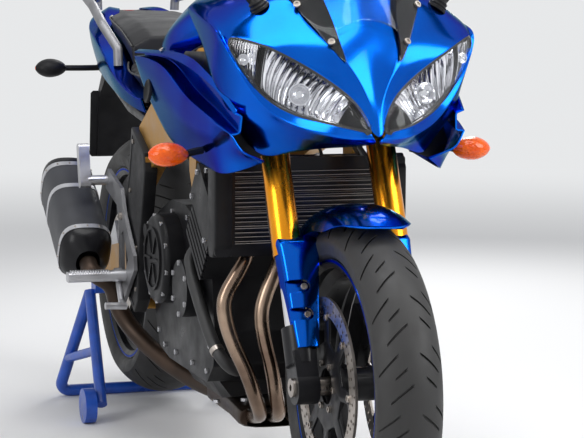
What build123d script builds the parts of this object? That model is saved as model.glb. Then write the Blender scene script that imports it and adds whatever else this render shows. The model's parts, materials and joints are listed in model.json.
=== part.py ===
"""A half-faired standard motorcycle with a four-cylinder engine, standing on its rear paddock stand.

Row frame: +Z up, the front wheel towards -Y, the rider's left at +X, the origin on the floor under the middle.
Places along the machine are given from the middle of the wheelbase by at() and by the planes side() and across().
All sizes are in millimetres.
"""
import math
import os

from build123d import *

os.makedirs("parts", exist_ok=True)

# Driving dimensions
WHEELBASE = 1460.0
MID_Y = -40.0  # middle of the wheelbase, ahead of the middle of the whole machine
CASTER = 25.0  # degrees of the steering axis from the vertical
FORK_OFFSET = 28.0  # fork legs ahead of the steering axis
FRONT_R = 300.0
FRONT_W = 120.0
REAR_R = 311.0
REAR_W = 190.0
REAR_LIFT = 25.0  # the paddock stand holds the rear tyre this far off the floor
RIM_SEAT_R = 216.0
FLANGE_H = 12.0  # a rim's flange above its bead seat
FLANGE_T = 6.5
FRONT_RIM_HALF = 44.5
REAR_RIM_HALF = 76.0
FORK_SPREAD = 209.0  # between the centre lines of the fork legs
OUTER_TUBE_R = 27.0
INNER_TUBE_R = 21.5
AXLE_R = 11.0
AXLE_CLEAR = 0.1  # running clearance of a shaft in its bore
DISC_R = 160.0
DISC_T = 5.0
DISC_X = 62.0  # middle of a front brake disc from the middle of the wheel
REAR_DISC_R = 122.5
REAR_DISC_X = -88.0
CHAIN_X = 112.0
CHAIN_PITCH = 15.875
FRONT_TEETH = 17
REAR_TEETH = 45
ARM_IN = 128.0  # inner face of a swingarm arm
ARM_T = 30.0
PANEL_T = 4.0

FRONT_Y = -WHEELBASE / 2
REAR_Y = WHEELBASE / 2
REAR_Z = REAR_R + REAR_LIFT
LEAN = math.radians(CASTER)
FLANGE_R = RIM_SEAT_R + FLANGE_H


def at(x, y, z):
    """A point of the machine, given from the middle of the wheelbase at floor level."""
    return Vector(x, MID_Y + y, z)


def side(x):
    """The plane of a side view at x: its own axes are the machine's Y and Z."""
    return Plane(origin=at(x, 0, 0), x_dir=(0, 1, 0), z_dir=(1, 0, 0))


def across(y):
    """The plane of a cross section at y: its own axes are X and Z, and it faces forwards."""
    return Plane(origin=at(0, y, 0), x_dir=(1, 0, 0), z_dir=(0, -1, 0))


def level(z):
    """The plane of a plan view at height z."""
    return Plane(origin=at(0, 0, z), x_dir=(1, 0, 0), z_dir=(0, 0, 1))


# The fork's own plane: origin on the front axle, its Z up along the legs, its Y square to them and rearwards
FORK = Plane(
    origin=at(0, FRONT_Y, FRONT_R),
    x_dir=(1, 0, 0),
    z_dir=(0, math.sin(LEAN), math.cos(LEAN)),
)


def fork_plane(along, back=0.0):
    """A plane square to the fork legs, this far up from the axle and this far behind the legs."""
    return Plane(
        origin=FORK.from_local_coords(Vector(0, back, along)), x_dir=FORK.x_dir, z_dir=FORK.z_dir
    )


def fork_point(x, back, along):
    return FORK.from_local_coords(Vector(x, back, along))


def keep(part, name):
    """Labels a finished piece and writes it."""
    part.label = name
    export_step(part, f"parts/{name}.step")


def rod(start, end, radius):
    """A round bar between two points."""
    way = end - start
    with BuildPart() as bar:
        with BuildSketch(Plane(origin=start, z_dir=way.normalized())):
            Circle(radius)
        extrude(amount=way.length)
    return bar.part


def pipe(points, radius, bend, bore=0.0):
    """A bent round tube along straight runs joined by arcs of one radius."""
    with BuildPart() as tube:
        with BuildLine() as run:
            FilletPolyline(*points, radius=bend)
        with BuildSketch(Plane(origin=run.line @ 0, z_dir=run.line % 0)):
            Circle(radius)
            if bore:
                Circle(bore, mode=Mode.SUBTRACT)
        sweep()
    return tube.part


def ruled(sections, plane_of=across):
    """A body between straight-sided sections, each a station and its outline."""
    with BuildPart() as body:
        for station, outline in sections:
            with BuildSketch(plane_of(station)):
                with BuildLine():
                    Polyline(*outline, close=True)
                make_face()
        loft(ruled=True)
    return body.part


def between(rows, place):
    """A table's values at a place, in a straight line between the rows beside it."""
    for near, far in zip(rows, rows[1:]):
        if near[0] <= place <= far[0]:
            share = (place - near[0]) / (far[0] - near[0])
            return [a + (b - a) * share for a, b in zip(near, far)]
    return rows[0] if place < rows[0][0] else rows[-1]


def together(*parts):
    """Several pieces that don't touch, as one piece."""
    return Compound(children=[solid for part in parts for solid in part.solids()])


# Wheels
FRONT_HUB = at(0, FRONT_Y, FRONT_R)
REAR_HUB = at(0, REAR_Y, REAR_Z)
RUN_FIT = 0.3  # air between neighbours that nearly touch
TREAD_T = 10.0
BEAD_W = 14.0
WELL_R = RIM_SEAT_R - 16.0
RIM_T = 5.0
HUB_R = 26.0
FLANGE_HALF = 52.0
DRIVE_HALF = 109.0
REAR_AXLE_R = 12.5
FRONT_HOLLOW_R = 6.0  # bores through the axles, which stands and sliders fasten in
REAR_HOLLOW_R = 7.5
REAR_HUB_FACE = 84.0  # right face of the rear hub, where its disc seats


def wheel_plane(hub):
    """The plane through a wheel's axle: its own axes are X and the distance from the axle."""
    return Plane(origin=hub, x_dir=(1, 0, 0), z_dir=(0, -1, 0))


def wheel_side(hub, x=0.0):
    return Plane(origin=hub + Vector(x, 0, 0), x_dir=(0, 1, 0), z_dir=(1, 0, 0))


def mirrored(half):
    """An outline from its right half, listed from one end to the other."""
    return half + [(-x, r) for x, r in reversed(half)]


def tyre(hub, radius, width, rim_half, side_share):
    """A tyre as a hollow ring: round crown, side walls over a share of its height, beads on the rim's seats."""
    edge = width / 2 - 1.0
    height = radius - FLANGE_R
    shoulder = FLANGE_R + height * side_share
    belly = FLANGE_R + height * side_share * 0.56
    lining = belly + TREAD_T * 0.4
    with BuildPart() as ring:
        with BuildSketch(wheel_plane(hub)):
            with BuildLine():
                ThreePointArc((-edge, shoulder), (0, radius), (edge, shoulder))
                Polyline(
                    (edge, shoulder),
                    (edge - 1.0, belly),
                    (rim_half + FLANGE_T * 0.6, FLANGE_R + 0.5),
                    (rim_half + 1.0, FLANGE_R + 0.5),
                    (rim_half, FLANGE_R - 1.5),
                    (rim_half, RIM_SEAT_R),
                    (rim_half - BEAD_W, RIM_SEAT_R),
                    (rim_half - BEAD_W, FLANGE_R),
                    (edge - TREAD_T - 2.0, lining),
                    (edge - TREAD_T, shoulder - TREAD_T * 0.4),
                )
                ThreePointArc(
                    (edge - TREAD_T, shoulder - TREAD_T * 0.4),
                    (0, radius - TREAD_T),
                    (TREAD_T - edge, shoulder - TREAD_T * 0.4),
                )
                Polyline(
                    (TREAD_T - edge, shoulder - TREAD_T * 0.4),
                    (TREAD_T + 2.0 - edge, lining),
                    (BEAD_W - rim_half, FLANGE_R),
                    (BEAD_W - rim_half, RIM_SEAT_R),
                    (-rim_half, RIM_SEAT_R),
                    (-rim_half, FLANGE_R - 1.5),
                    (-rim_half - 1.0, FLANGE_R + 0.5),
                    (-rim_half - FLANGE_T * 0.6, FLANGE_R + 0.5),
                    (1.0 - edge, belly),
                    (-edge, shoulder),
                )
            make_face()
        revolve(axis=Axis(hub, (1, 0, 0)))
    return ring.part


def cast_rim(hub, rim_half, bore, hub_outline, spoke_half):
    """A cast wheel: barrel with a drop centre, hub and five tapered spokes."""
    well = rim_half - BEAD_W - 10.0
    barrel = mirrored(
        [
            (rim_half, RIM_SEAT_R),
            (rim_half, FLANGE_R - 1.5),
            (rim_half + 1.5, FLANGE_R),
            (rim_half + FLANGE_T, FLANGE_R),
            (rim_half + FLANGE_T, FLANGE_R - 8.0),
            (rim_half, RIM_SEAT_R - RIM_T),
            (rim_half - BEAD_W, RIM_SEAT_R - RIM_T),
            (well - 2.0, WELL_R - RIM_T),
        ]
    )
    seat = rim_half - BEAD_W
    seats = [(-seat, RIM_SEAT_R), (-well, WELL_R), (well, WELL_R), (seat, RIM_SEAT_R)]
    with BuildPart() as wheel:
        with BuildSketch(wheel_plane(hub)):
            with BuildLine():
                Polyline(*barrel, *seats, close=True)
            make_face()
            with BuildLine():
                Polyline(*hub_outline, close=True)
            make_face()
        revolve(axis=Axis(hub, (1, 0, 0)))
        with BuildSketch(wheel_side(hub)):
            with PolarLocations(0, 5, start_angle=18):
                with BuildLine():
                    Polyline(
                        (HUB_R - 6.0, -24.0),
                        (HUB_R + 60.0, -15.0),
                        (WELL_R - RIM_T - 20.0, -14.0),
                        (WELL_R - RIM_T + 2.0, -24.0),
                        (WELL_R - RIM_T + 2.0, 24.0),
                        (WELL_R - RIM_T - 20.0, 14.0),
                        (HUB_R + 60.0, 15.0),
                        (HUB_R - 6.0, 24.0),
                        close=True,
                    )
                make_face()
        extrude(amount=spoke_half, both=True)
        with BuildSketch(wheel_side(hub)):
            Circle(bore)
        extrude(amount=200, both=True, mode=Mode.SUBTRACT)
    return wheel.part


front_bore = AXLE_R + AXLE_CLEAR
with BuildPart() as front_rim:
    add(
        cast_rim(
            FRONT_HUB,
            FRONT_RIM_HALF,
            front_bore,
            mirrored(
                [
                    (FLANGE_HALF, 5.0),
                    (FLANGE_HALF, 48.0),
                    (FLANGE_HALF - 8.0, 48.0),
                    (FLANGE_HALF - 14.0, HUB_R + 4.0),
                ]
            ),
            spoke_half=15.0,
        )
    )
keep(front_rim.part, "front_rim")

with BuildPart() as front_tyre:
    add(tyre(FRONT_HUB, FRONT_R, FRONT_W, FRONT_RIM_HALF, side_share=0.44))
keep(front_tyre.part, "front_tyre")

rear_bore = REAR_AXLE_R + AXLE_CLEAR
with BuildPart() as rear_rim:
    add(
        cast_rim(
            REAR_HUB,
            REAR_RIM_HALF,
            rear_bore,
            [
                (-REAR_HUB_FACE, 5.0),
                (-REAR_HUB_FACE, 46.0),
                (-76.0, 46.0),
                (-66.0, HUB_R + 6.0),
                (40.0, HUB_R + 6.0),
                (52.0, 76.0),
                (92.0, 76.0),
                (DRIVE_HALF, 62.0),
                (DRIVE_HALF, 5.0),
            ],
            spoke_half=20.0,
        )
    )
keep(rear_rim.part, "rear_rim")

with BuildPart() as rear_tyre:
    add(tyre(REAR_HUB, REAR_R, REAR_W, REAR_RIM_HALF, side_share=0.4))
keep(rear_tyre.part, "rear_tyre")

# Brake discs: ring and carrier
RING_W = 33.0
REAR_RING_W = 32.0
CARRIER_BORE_R = 32.0


def disc_ring(hub, x, radius, ring_w):
    with BuildPart() as ring:
        with BuildSketch(wheel_side(hub, x - DISC_T / 2)):
            Circle(radius)
            Circle(radius - ring_w, mode=Mode.SUBTRACT)
            with PolarLocations(radius - ring_w * 0.5, 12):
                Circle(5.0, mode=Mode.SUBTRACT)
        extrude(amount=DISC_T)
    return ring.part


def disc_carrier(hub, x, ring_inner, seat, bore_r, arms=6):
    """The carrier: a boss seated on the hub, and arms in the disc's plane out to the ring's inner edge."""
    outer = x + math.copysign(DISC_T / 2, x)
    with BuildPart() as carrier:
        with BuildSketch(wheel_side(hub, min(outer, seat))):
            Circle(47.0)
            Circle(bore_r, mode=Mode.SUBTRACT)
        extrude(amount=abs(outer - seat))
        with BuildSketch(wheel_side(hub, x - DISC_T / 2)):
            with PolarLocations(0, arms):
                with BuildLine():
                    Polyline((40, -22), (ring_inner - 4, -9), (ring_inner - 4, 9), (40, 22), close=True)
                make_face()
            Circle(bore_r, mode=Mode.SUBTRACT)
        extrude(amount=DISC_T)
        with BuildSketch(wheel_side(hub, x - DISC_T / 2)):
            Circle(ring_inner)
            Circle(ring_inner - 9.0, mode=Mode.SUBTRACT)
        extrude(amount=DISC_T)
    return carrier.part


with BuildPart() as front_disc:
    add(disc_ring(FRONT_HUB, DISC_X, DISC_R, RING_W))
    add(disc_carrier(FRONT_HUB, DISC_X, DISC_R - RING_W, FLANGE_HALF, CARRIER_BORE_R))
    mirror(about=Plane.YZ)
keep(front_disc.part, "front_brake_discs")

with BuildPart() as rear_disc:
    add(disc_ring(REAR_HUB, REAR_DISC_X, REAR_DISC_R, REAR_RING_W))
    add(disc_carrier(REAR_HUB, REAR_DISC_X, REAR_DISC_R - REAR_RING_W, -REAR_HUB_FACE, CARRIER_BORE_R, arms=5))
keep(rear_disc.part, "rear_brake_disc")

# Chain drive
SPROCKET_T = 6.0
ROLLER_R = 5.0
FRONT_SPROCKET = at(CHAIN_X, 152, 412)
FRONT_PITCH_R = CHAIN_PITCH / (2 * math.sin(math.pi / FRONT_TEETH))
REAR_PITCH_R = CHAIN_PITCH / (2 * math.sin(math.pi / REAR_TEETH))
SHAFT_R = 15.0


def sprocket(hub, x, pitch_r, teeth, bore_r):
    """A toothed wheel, its gullets cut by the chain's rollers."""
    with BuildPart() as wheel:
        with BuildSketch(wheel_side(hub, x - SPROCKET_T / 2)):
            Circle(pitch_r + 4.0)
            Circle(bore_r, mode=Mode.SUBTRACT)
            with PolarLocations(pitch_r, teeth):
                Circle(ROLLER_R, mode=Mode.SUBTRACT)
        extrude(amount=SPROCKET_T)
    return wheel.part


with BuildPart() as rear_sprocket:
    add(sprocket(REAR_HUB, CHAIN_X, REAR_PITCH_R, REAR_TEETH, 40.0))
    with BuildSketch(wheel_side(REAR_HUB, CHAIN_X - SPROCKET_T / 2)):
        with PolarLocations(84.0, 5):
            Circle(14.0)
    extrude(amount=SPROCKET_T, mode=Mode.SUBTRACT)
keep(rear_sprocket.part, "rear_sprocket")

with BuildPart() as front_sprocket:
    add(sprocket(FRONT_SPROCKET - Vector(CHAIN_X, 0, 0), CHAIN_X, FRONT_PITCH_R, FRONT_TEETH, SHAFT_R))
chain_way = REAR_HUB - FRONT_SPROCKET + Vector(CHAIN_X, 0, 0)
CHAIN_SPAN = math.hypot(chain_way.Y, chain_way.Z)
CHAIN_PLANE = Plane(
    origin=FRONT_SPROCKET,
    x_dir=(0, chain_way.Y / CHAIN_SPAN, chain_way.Z / CHAIN_SPAN),
    z_dir=(1, 0, 0),
)
LINK_HALF = 7.5
LINK_T = 3.6
LINK_IN = 3.8  # inner face of a link plate from the chain's middle


def belt_outline(grow):
    """The closed outline round both sprockets, this far out from the pitch line."""
    front_r, rear_r = FRONT_PITCH_R + grow, REAR_PITCH_R + grow
    lean = math.asin((rear_r - front_r) / CHAIN_SPAN)
    sin_l, cos_l = math.sin(lean), math.cos(lean)
    front_top = (-front_r * sin_l, front_r * cos_l)
    rear_top = (CHAIN_SPAN - rear_r * sin_l, rear_r * cos_l)
    front_low = (front_top[0], -front_top[1])
    rear_low = (rear_top[0], -rear_top[1])
    Line(front_top, rear_top)
    ThreePointArc(rear_top, (CHAIN_SPAN + rear_r, 0), rear_low)
    Line(rear_low, front_low)
    ThreePointArc(front_low, (-front_r, 0), front_top)


def chain_side(start, thick):
    with BuildPart() as plates:
        with BuildSketch(CHAIN_PLANE.offset(start)):
            with BuildLine():
                belt_outline(LINK_HALF)
            make_face()
            with BuildLine():
                belt_outline(-LINK_HALF)
            make_face(mode=Mode.SUBTRACT)
        extrude(amount=thick)
    return plates.part


with BuildPart() as drive_chain:
    add(chain_side(LINK_IN, LINK_T))
    add(chain_side(-LINK_IN - LINK_T, LINK_T))
    run_lean = math.degrees(math.asin((REAR_PITCH_R - FRONT_PITCH_R) / CHAIN_SPAN))
    rollers = int(CHAIN_SPAN * 0.62 / CHAIN_PITCH / 3)
    for way in (-1, 1):
        with BuildSketch(CHAIN_PLANE.offset(-LINK_IN)):
            for step in range(rollers):
                along = 90.0 + step * CHAIN_PITCH * 3
                out = FRONT_PITCH_R + along * math.tan(math.radians(run_lean)) + 1.3
                with Locations((along, way * out)):
                    Circle(ROLLER_R)
        extrude(amount=2 * LINK_IN)
keep(together(drive_chain.part, front_sprocket.part), "drive_chain")


# Front fork and what turns with it
OUTER_TUBE_LOW = 245.0  # heights along the fork are measured from the axle
OUTER_TUBE_TOP = 772.0
LOWER_CLAMP = 540.0
LOWER_CLAMP_T = 34.0
TOP_CLAMP = 738.0
TOP_CLAMP_T = 26.0
STEM_R = 15.0
HEAD_R = 33.0
HEAD_GAP = 1.0
CALIPER_GAP = 5.2
FORK_X = FORK_SPREAD / 2


def fork_side(x=0.0):
    """A side view of the fork: its own axes run rearwards, square to the legs, and up along them."""
    return Plane(origin=fork_point(x, 0, 0), x_dir=FORK.y_dir, z_dir=(1, 0, 0))


with BuildPart() as outer_tubes:
    with BuildSketch(fork_plane(OUTER_TUBE_LOW)):
        with Locations((FORK_X, 0), (-FORK_X, 0)):
            Circle(OUTER_TUBE_R)
    extrude(amount=OUTER_TUBE_TOP - OUTER_TUBE_LOW)
    with BuildSketch(fork_plane(OUTER_TUBE_LOW)):
        with Locations((FORK_X, 0), (-FORK_X, 0)):
            Circle(INNER_TUBE_R + RUN_FIT)
    extrude(amount=60.0, mode=Mode.SUBTRACT)
keep(outer_tubes.part, "fork_outer_tubes")

INNER_TUBE_LOW = 62.0
with BuildPart() as inner_tubes:
    with BuildSketch(fork_plane(INNER_TUBE_LOW)):
        with Locations((FORK_X, 0), (-FORK_X, 0)):
            Circle(INNER_TUBE_R)
    extrude(amount=OUTER_TUBE_LOW + 59.7 - INNER_TUBE_LOW)
keep(inner_tubes.part, "fork_inner_tubes")

# Cast axle clamps at the feet of the legs, with two ears behind for the caliper
CLAMP_IN = 84.0
CLAMP_OUT = 125.0
EAR_T = 14.0
FOOT_R = 29.0
with BuildPart() as fork_feet:
    with BuildSketch(fork_side(CLAMP_IN)):
        Circle(31.0)
        with BuildLine():
            Polyline((-29, 0), (-27, 62), (27, 62), (30, 0), close=True)
        make_face()
    extrude(amount=CLAMP_OUT - CLAMP_IN)
    with BuildSketch(fork_plane(40.0)):
        with Locations((FORK_X, 0)):
            Circle(FOOT_R)
    extrude(amount=70.0)
    with BuildSketch(fork_side(CLAMP_IN + 4.0)):
        with BuildLine():
            Polyline((10, 30), (52, 36), (62, 48), (52, 62), (10, 66), close=True)
        make_face()
        with BuildLine():
            Polyline((10, 96), (40, 138), (56, 140), (58, 124), (10, 70), close=True)
        make_face()
    extrude(amount=EAR_T)
    with BuildSketch(fork_plane(INNER_TUBE_LOW)):
        with Locations((FORK_X, 0)):
            Circle(INNER_TUBE_R)
    extrude(amount=60.0, mode=Mode.SUBTRACT)
    with BuildSketch(fork_side(CLAMP_IN - 1)):
        Circle(AXLE_R + 3.0)
    extrude(amount=60.0, mode=Mode.SUBTRACT)
    mirror(about=Plane.YZ)
keep(fork_feet.part, "fork_feet")

SPACER_R = 17.0
with BuildPart() as front_axle:
    with BuildSketch(wheel_side(FRONT_HUB, -CLAMP_OUT - 4)):
        Circle(AXLE_R)
    extrude(amount=2 * CLAMP_OUT + 8)
    for start, length, radius in (
        (FLANGE_HALF + RUN_FIT, CLAMP_IN - FLANGE_HALF - RUN_FIT, SPACER_R),
        (CLAMP_IN, CLAMP_OUT - CLAMP_IN, AXLE_R + 3.0),
        (CLAMP_OUT, 6.0, SPACER_R),
    ):
        for way in (-1, 1):
            with BuildSketch(wheel_side(FRONT_HUB, way * start)):
                Circle(radius)
            extrude(amount=way * length)
    with BuildSketch(wheel_side(FRONT_HUB, -CLAMP_OUT - 20)):
        Circle(FRONT_HOLLOW_R)
    extrude(amount=2 * CLAMP_OUT + 40, mode=Mode.SUBTRACT)
keep(front_axle.part, "front_axle")

# Calipers: blocks that straddle the discs behind the legs
CALIPER_AT = (76.0, 103.0)
CALIPER_TILT = math.degrees(math.atan2(CALIPER_AT[1], CALIPER_AT[0]))
with BuildPart() as calipers:
    with BuildSketch(fork_side(DISC_X - 30.0)):
        with Locations(Location((*CALIPER_AT, 0), (0, 0, CALIPER_TILT))):
            with Locations((14, 0)):
                RectangleRounded(72, 112, 16)
    extrude(amount=30.0 + 25.8)
    with BuildSketch(wheel_side(FRONT_HUB, DISC_X - DISC_T / 2 - CALIPER_GAP)):
        Circle(DISC_R + 6.0)
    extrude(amount=DISC_T + 2 * CALIPER_GAP, mode=Mode.SUBTRACT)
    with BuildSketch(wheel_side(FRONT_HUB, DISC_X - 40.0)):
        Circle(FLANGE_HALF + 44.0)
    extrude(amount=80.0, mode=Mode.SUBTRACT)
    mirror(about=Plane.YZ)
keep(calipers.part, "front_calipers")

with BuildPart() as triple_clamps:
    with BuildSketch(fork_plane(LOWER_CLAMP)):
        with Locations((FORK_X, 0), (-FORK_X, 0)):
            Circle(OUTER_TUBE_R + 11)
        with Locations((0, FORK_OFFSET)):
            Circle(34)
        with Locations((0, 12)):
            Rectangle(2 * FORK_X, 44)
    extrude(amount=LOWER_CLAMP_T)
    with BuildSketch(fork_plane(TOP_CLAMP)):
        with Locations((FORK_X, 0), (-FORK_X, 0)):
            Circle(OUTER_TUBE_R + 9)
        with Locations((0, FORK_OFFSET)):
            Circle(32)
        with Locations((0, 12)):
            Rectangle(2 * FORK_X, 38)
    extrude(amount=TOP_CLAMP_T)
    with BuildSketch(fork_plane(LOWER_CLAMP)):
        with Locations((0, FORK_OFFSET)):
            Circle(STEM_R)
    extrude(amount=TOP_CLAMP - LOWER_CLAMP)
    with BuildSketch(fork_plane(LOWER_CLAMP)):
        with Locations((FORK_X, 0), (-FORK_X, 0)):
            Circle(OUTER_TUBE_R)
    extrude(amount=300.0, mode=Mode.SUBTRACT)
keep(triple_clamps.part, "triple_clamps")

# Handlebar on two risers: middle, bends and ends as x, back and height along the fork
BAR_R = 11.0
BAR_RISE = OUTER_TUBE_TOP + 54.0
BAR_POINTS = (
    (0, 20, BAR_RISE), (80, 20, BAR_RISE), (185, 62, BAR_RISE + 32), (378.5, 112, BAR_RISE - 2),
)
bar_right = [fork_point(*p) for p in BAR_POINTS]
bar_left = [fork_point(-x, b, h) for x, b, h in BAR_POINTS]
with BuildPart() as handlebar:
    add(pipe([*reversed(bar_left[1:]), *bar_right[1:]], BAR_R, bend=40.0))
    with BuildSketch(fork_side(-52.0)):
        with Locations((20, BAR_RISE)):
            Circle(21)
        with Locations((20, (BAR_RISE + TOP_CLAMP + TOP_CLAMP_T) / 2)):
            Rectangle(30, BAR_RISE - TOP_CLAMP - TOP_CLAMP_T)
    extrude(amount=24.0)
    with BuildSketch(fork_side(28.0)):
        with Locations((20, BAR_RISE)):
            Circle(21)
        with Locations((20, (BAR_RISE + TOP_CLAMP + TOP_CLAMP_T) / 2)):
            Rectangle(30, BAR_RISE - TOP_CLAMP - TOP_CLAMP_T)
    extrude(amount=24.0)
keep(handlebar.part, "handlebar")

# Grips, switch housings and levers
GRIP_R = 16.5
bar_way = (bar_right[3] - bar_right[2]).normalized()


def on_bar(along, sideways=1):
    """A point this far in from the bar's end, on the rider's left or, with -1, on the right."""
    spot = bar_right[3] - bar_way * along
    return Vector(sideways * spot.X, spot.Y, spot.Z)


with BuildPart() as grips:
    add(rod(on_bar(122), on_bar(-2), GRIP_R))
    add(rod(on_bar(122), on_bar(-2), BAR_R), mode=Mode.SUBTRACT)
    mirror(about=Plane.YZ)
with BuildPart() as switches:
    add(rod(on_bar(158), on_bar(124), 21.0))
    add(rod(on_bar(159), on_bar(123), BAR_R), mode=Mode.SUBTRACT)
    mirror(about=Plane.YZ)
keep(together(grips.part, switches.part), "grips_and_switches")

lever_way = FORK.y_dir
with BuildPart() as levers:
    for sideways in (1, -1):
        add(rod(on_bar(174, sideways), on_bar(160, sideways), 17.0))
        add(rod(on_bar(167, sideways) - lever_way * 13.0, on_bar(167, sideways) - lever_way * 46.0, 7.0))
        add(rod(on_bar(170, sideways) - lever_way * 42.0, on_bar(20, sideways) - lever_way * 58.0, 6.0))
        add(rod(on_bar(175, sideways), on_bar(159, sideways), BAR_R), mode=Mode.SUBTRACT)
    reservoir = on_bar(180, -1) - lever_way * 54.0
    add(rod(reservoir - FORK.z_dir * 8.0, reservoir + FORK.z_dir * 34.0, 20.0))
keep(levers.part, "levers")

# Front mudguard: a shell round the tyre with a guard down the front of each leg
FENDER_GAP = 22.0  # air between the front tyre's crown and the mudguard's top
FENDER_R = FRONT_R + FENDER_GAP
FENDER_T = 3.5
FENDER_SIDE = 76.5  # half the width at the mudguard's lower edges
GUARD_R = FOOT_R + RUN_FIT + FENDER_T
GUARD_LOW = 96.0
GUARD_TOP = 286.0
GUARD_SLOTS = (127.0, 179.0)
SLOT_DEPTH = 12.0
SLOT_WIDE = 15.0
FENDER_FRONT = 66.0  # degrees up from straight ahead
FENDER_SPAN = 74.0
with BuildPart() as front_mudguard:
    start = Plane(
        origin=FRONT_HUB,
        x_dir=(1, 0, 0),
        z_dir=Vector(0, -1, 0).rotate(Axis.X, 90.0 - FENDER_FRONT),
    )
    with BuildSketch(start):
        with BuildLine():
            ThreePointArc((-71, FENDER_R - 16), (0, FENDER_R), (71, FENDER_R - 16))
            Polyline(
                (71, FENDER_R - 16),
                (FENDER_SIDE, FENDER_R - 44),
                (FENDER_SIDE - FENDER_T, FENDER_R - 44),
                (71 - FENDER_T, FENDER_R - 16 - FENDER_T),
            )
            ThreePointArc(
                (71 - FENDER_T, FENDER_R - 16 - FENDER_T),
                (0, FENDER_R - FENDER_T),
                (FENDER_T - 71, FENDER_R - 16 - FENDER_T),
            )
            Polyline(
                (FENDER_T - 71, FENDER_R - 16 - FENDER_T),
                (FENDER_T - FENDER_SIDE, FENDER_R - 44),
                (-FENDER_SIDE, FENDER_R - 44),
                (-71, FENDER_R - 16),
            )
        make_face()
    revolve(axis=Axis(FRONT_HUB, (1, 0, 0)), revolution_arc=-FENDER_SPAN)
    with BuildSketch(fork_plane(GUARD_LOW)):
        with Locations((FORK_X, 0), (-FORK_X, 0)):
            Circle(GUARD_R)
            Circle(GUARD_R - FENDER_T, mode=Mode.SUBTRACT)
            with Locations((0, 26)):
                Rectangle(2 * GUARD_R, 2 * GUARD_R - 18, mode=Mode.SUBTRACT)
    extrude(amount=GUARD_TOP - GUARD_LOW)
    for along in GUARD_SLOTS:
        with BuildSketch(fork_side(-FORK_X - GUARD_R)):
            with Locations((-GUARD_R, along)):
                RectangleRounded(2 * SLOT_DEPTH, SLOT_WIDE, 5)
        extrude(amount=GUARD_R, mode=Mode.SUBTRACT)
        with BuildSketch(fork_side(FORK_X)):
            with Locations((-GUARD_R, along)):
                RectangleRounded(2 * SLOT_DEPTH, SLOT_WIDE, 5)
        extrude(amount=GUARD_R, mode=Mode.SUBTRACT)
keep(front_mudguard.part, "front_mudguard")

# Brake hoses from the splitter under the lower clamp down to the calipers, as x, back and height
HOSE_R = 3.6
HOSE_POINTS = (
    (28, 22, LOWER_CLAMP - 8),
    (62, 46, LOWER_CLAMP - 34),
    (98, 54, LOWER_CLAMP - 92),
    (112, 56, LOWER_CLAMP - 158),
    (112, 58, LOWER_CLAMP - 226),
    (106, 64, LOWER_CLAMP - 290),
    (92, 74, LOWER_CLAMP - 344),
)
with BuildPart() as brake_hoses:
    for way in (-1, 1):
        add(pipe([fork_point(way * x, b, h) for x, b, h in HOSE_POINTS], HOSE_R, bend=46.0))
    with BuildSketch(fork_side(-30.0)):
        with Locations((22, LOWER_CLAMP - 9)):
            RectangleRounded(20, 18, 3)
    extrude(amount=60.0)
keep(brake_hoses.part, "front_brake_hoses")


# Frame, swingarm and rear axle
SPAR_IN = 140.0
SPAR_OUT = 172.0
PIVOT = (235.0, 412.0)
PIVOT_R = 14.0
# y, inner x, outer x, low z, high z
SPAR = (
    (-415, 20, 60, 812, 948),
    (-350, 34, 70, 790, 912),
    (-300, 76, 118, 765, 902),
    (-240, 130, 168, 735, 885),
    (-60, SPAR_IN, SPAR_OUT, 680, 820),
    (120, SPAR_IN, SPAR_OUT, 620, 755),
    (225, SPAR_IN, SPAR_OUT, 560, 700),
)
PLATE_IN = 160.0
PLATE_OUT = 184.0
PLATE = (
    (120, 640), (235, 694), (262, 600), (300, 520), (292, 430),
    (275, 330), (215, 300), (184, 330), (180, 430), (150, 520),
)

# Side stand, folded up along the left: it swings in a plane that leans outwards
STAND_PIVOT = at(168, 150, 262)
STAND_FOLDED = Vector(0.06, 0.98, -0.14).normalized()
STAND_DOWN = Vector(0.36, -0.2, -0.91).normalized()
STAND_PLANE = Plane(
    origin=STAND_PIVOT, x_dir=STAND_FOLDED, z_dir=STAND_DOWN.cross(STAND_FOLDED).normalized()
)
STAND_LONG = 266.0
STAND_T = 13.0
STAND_PIN_R = 8.0
BRACKET_X = PLATE_IN - 8.0

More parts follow.
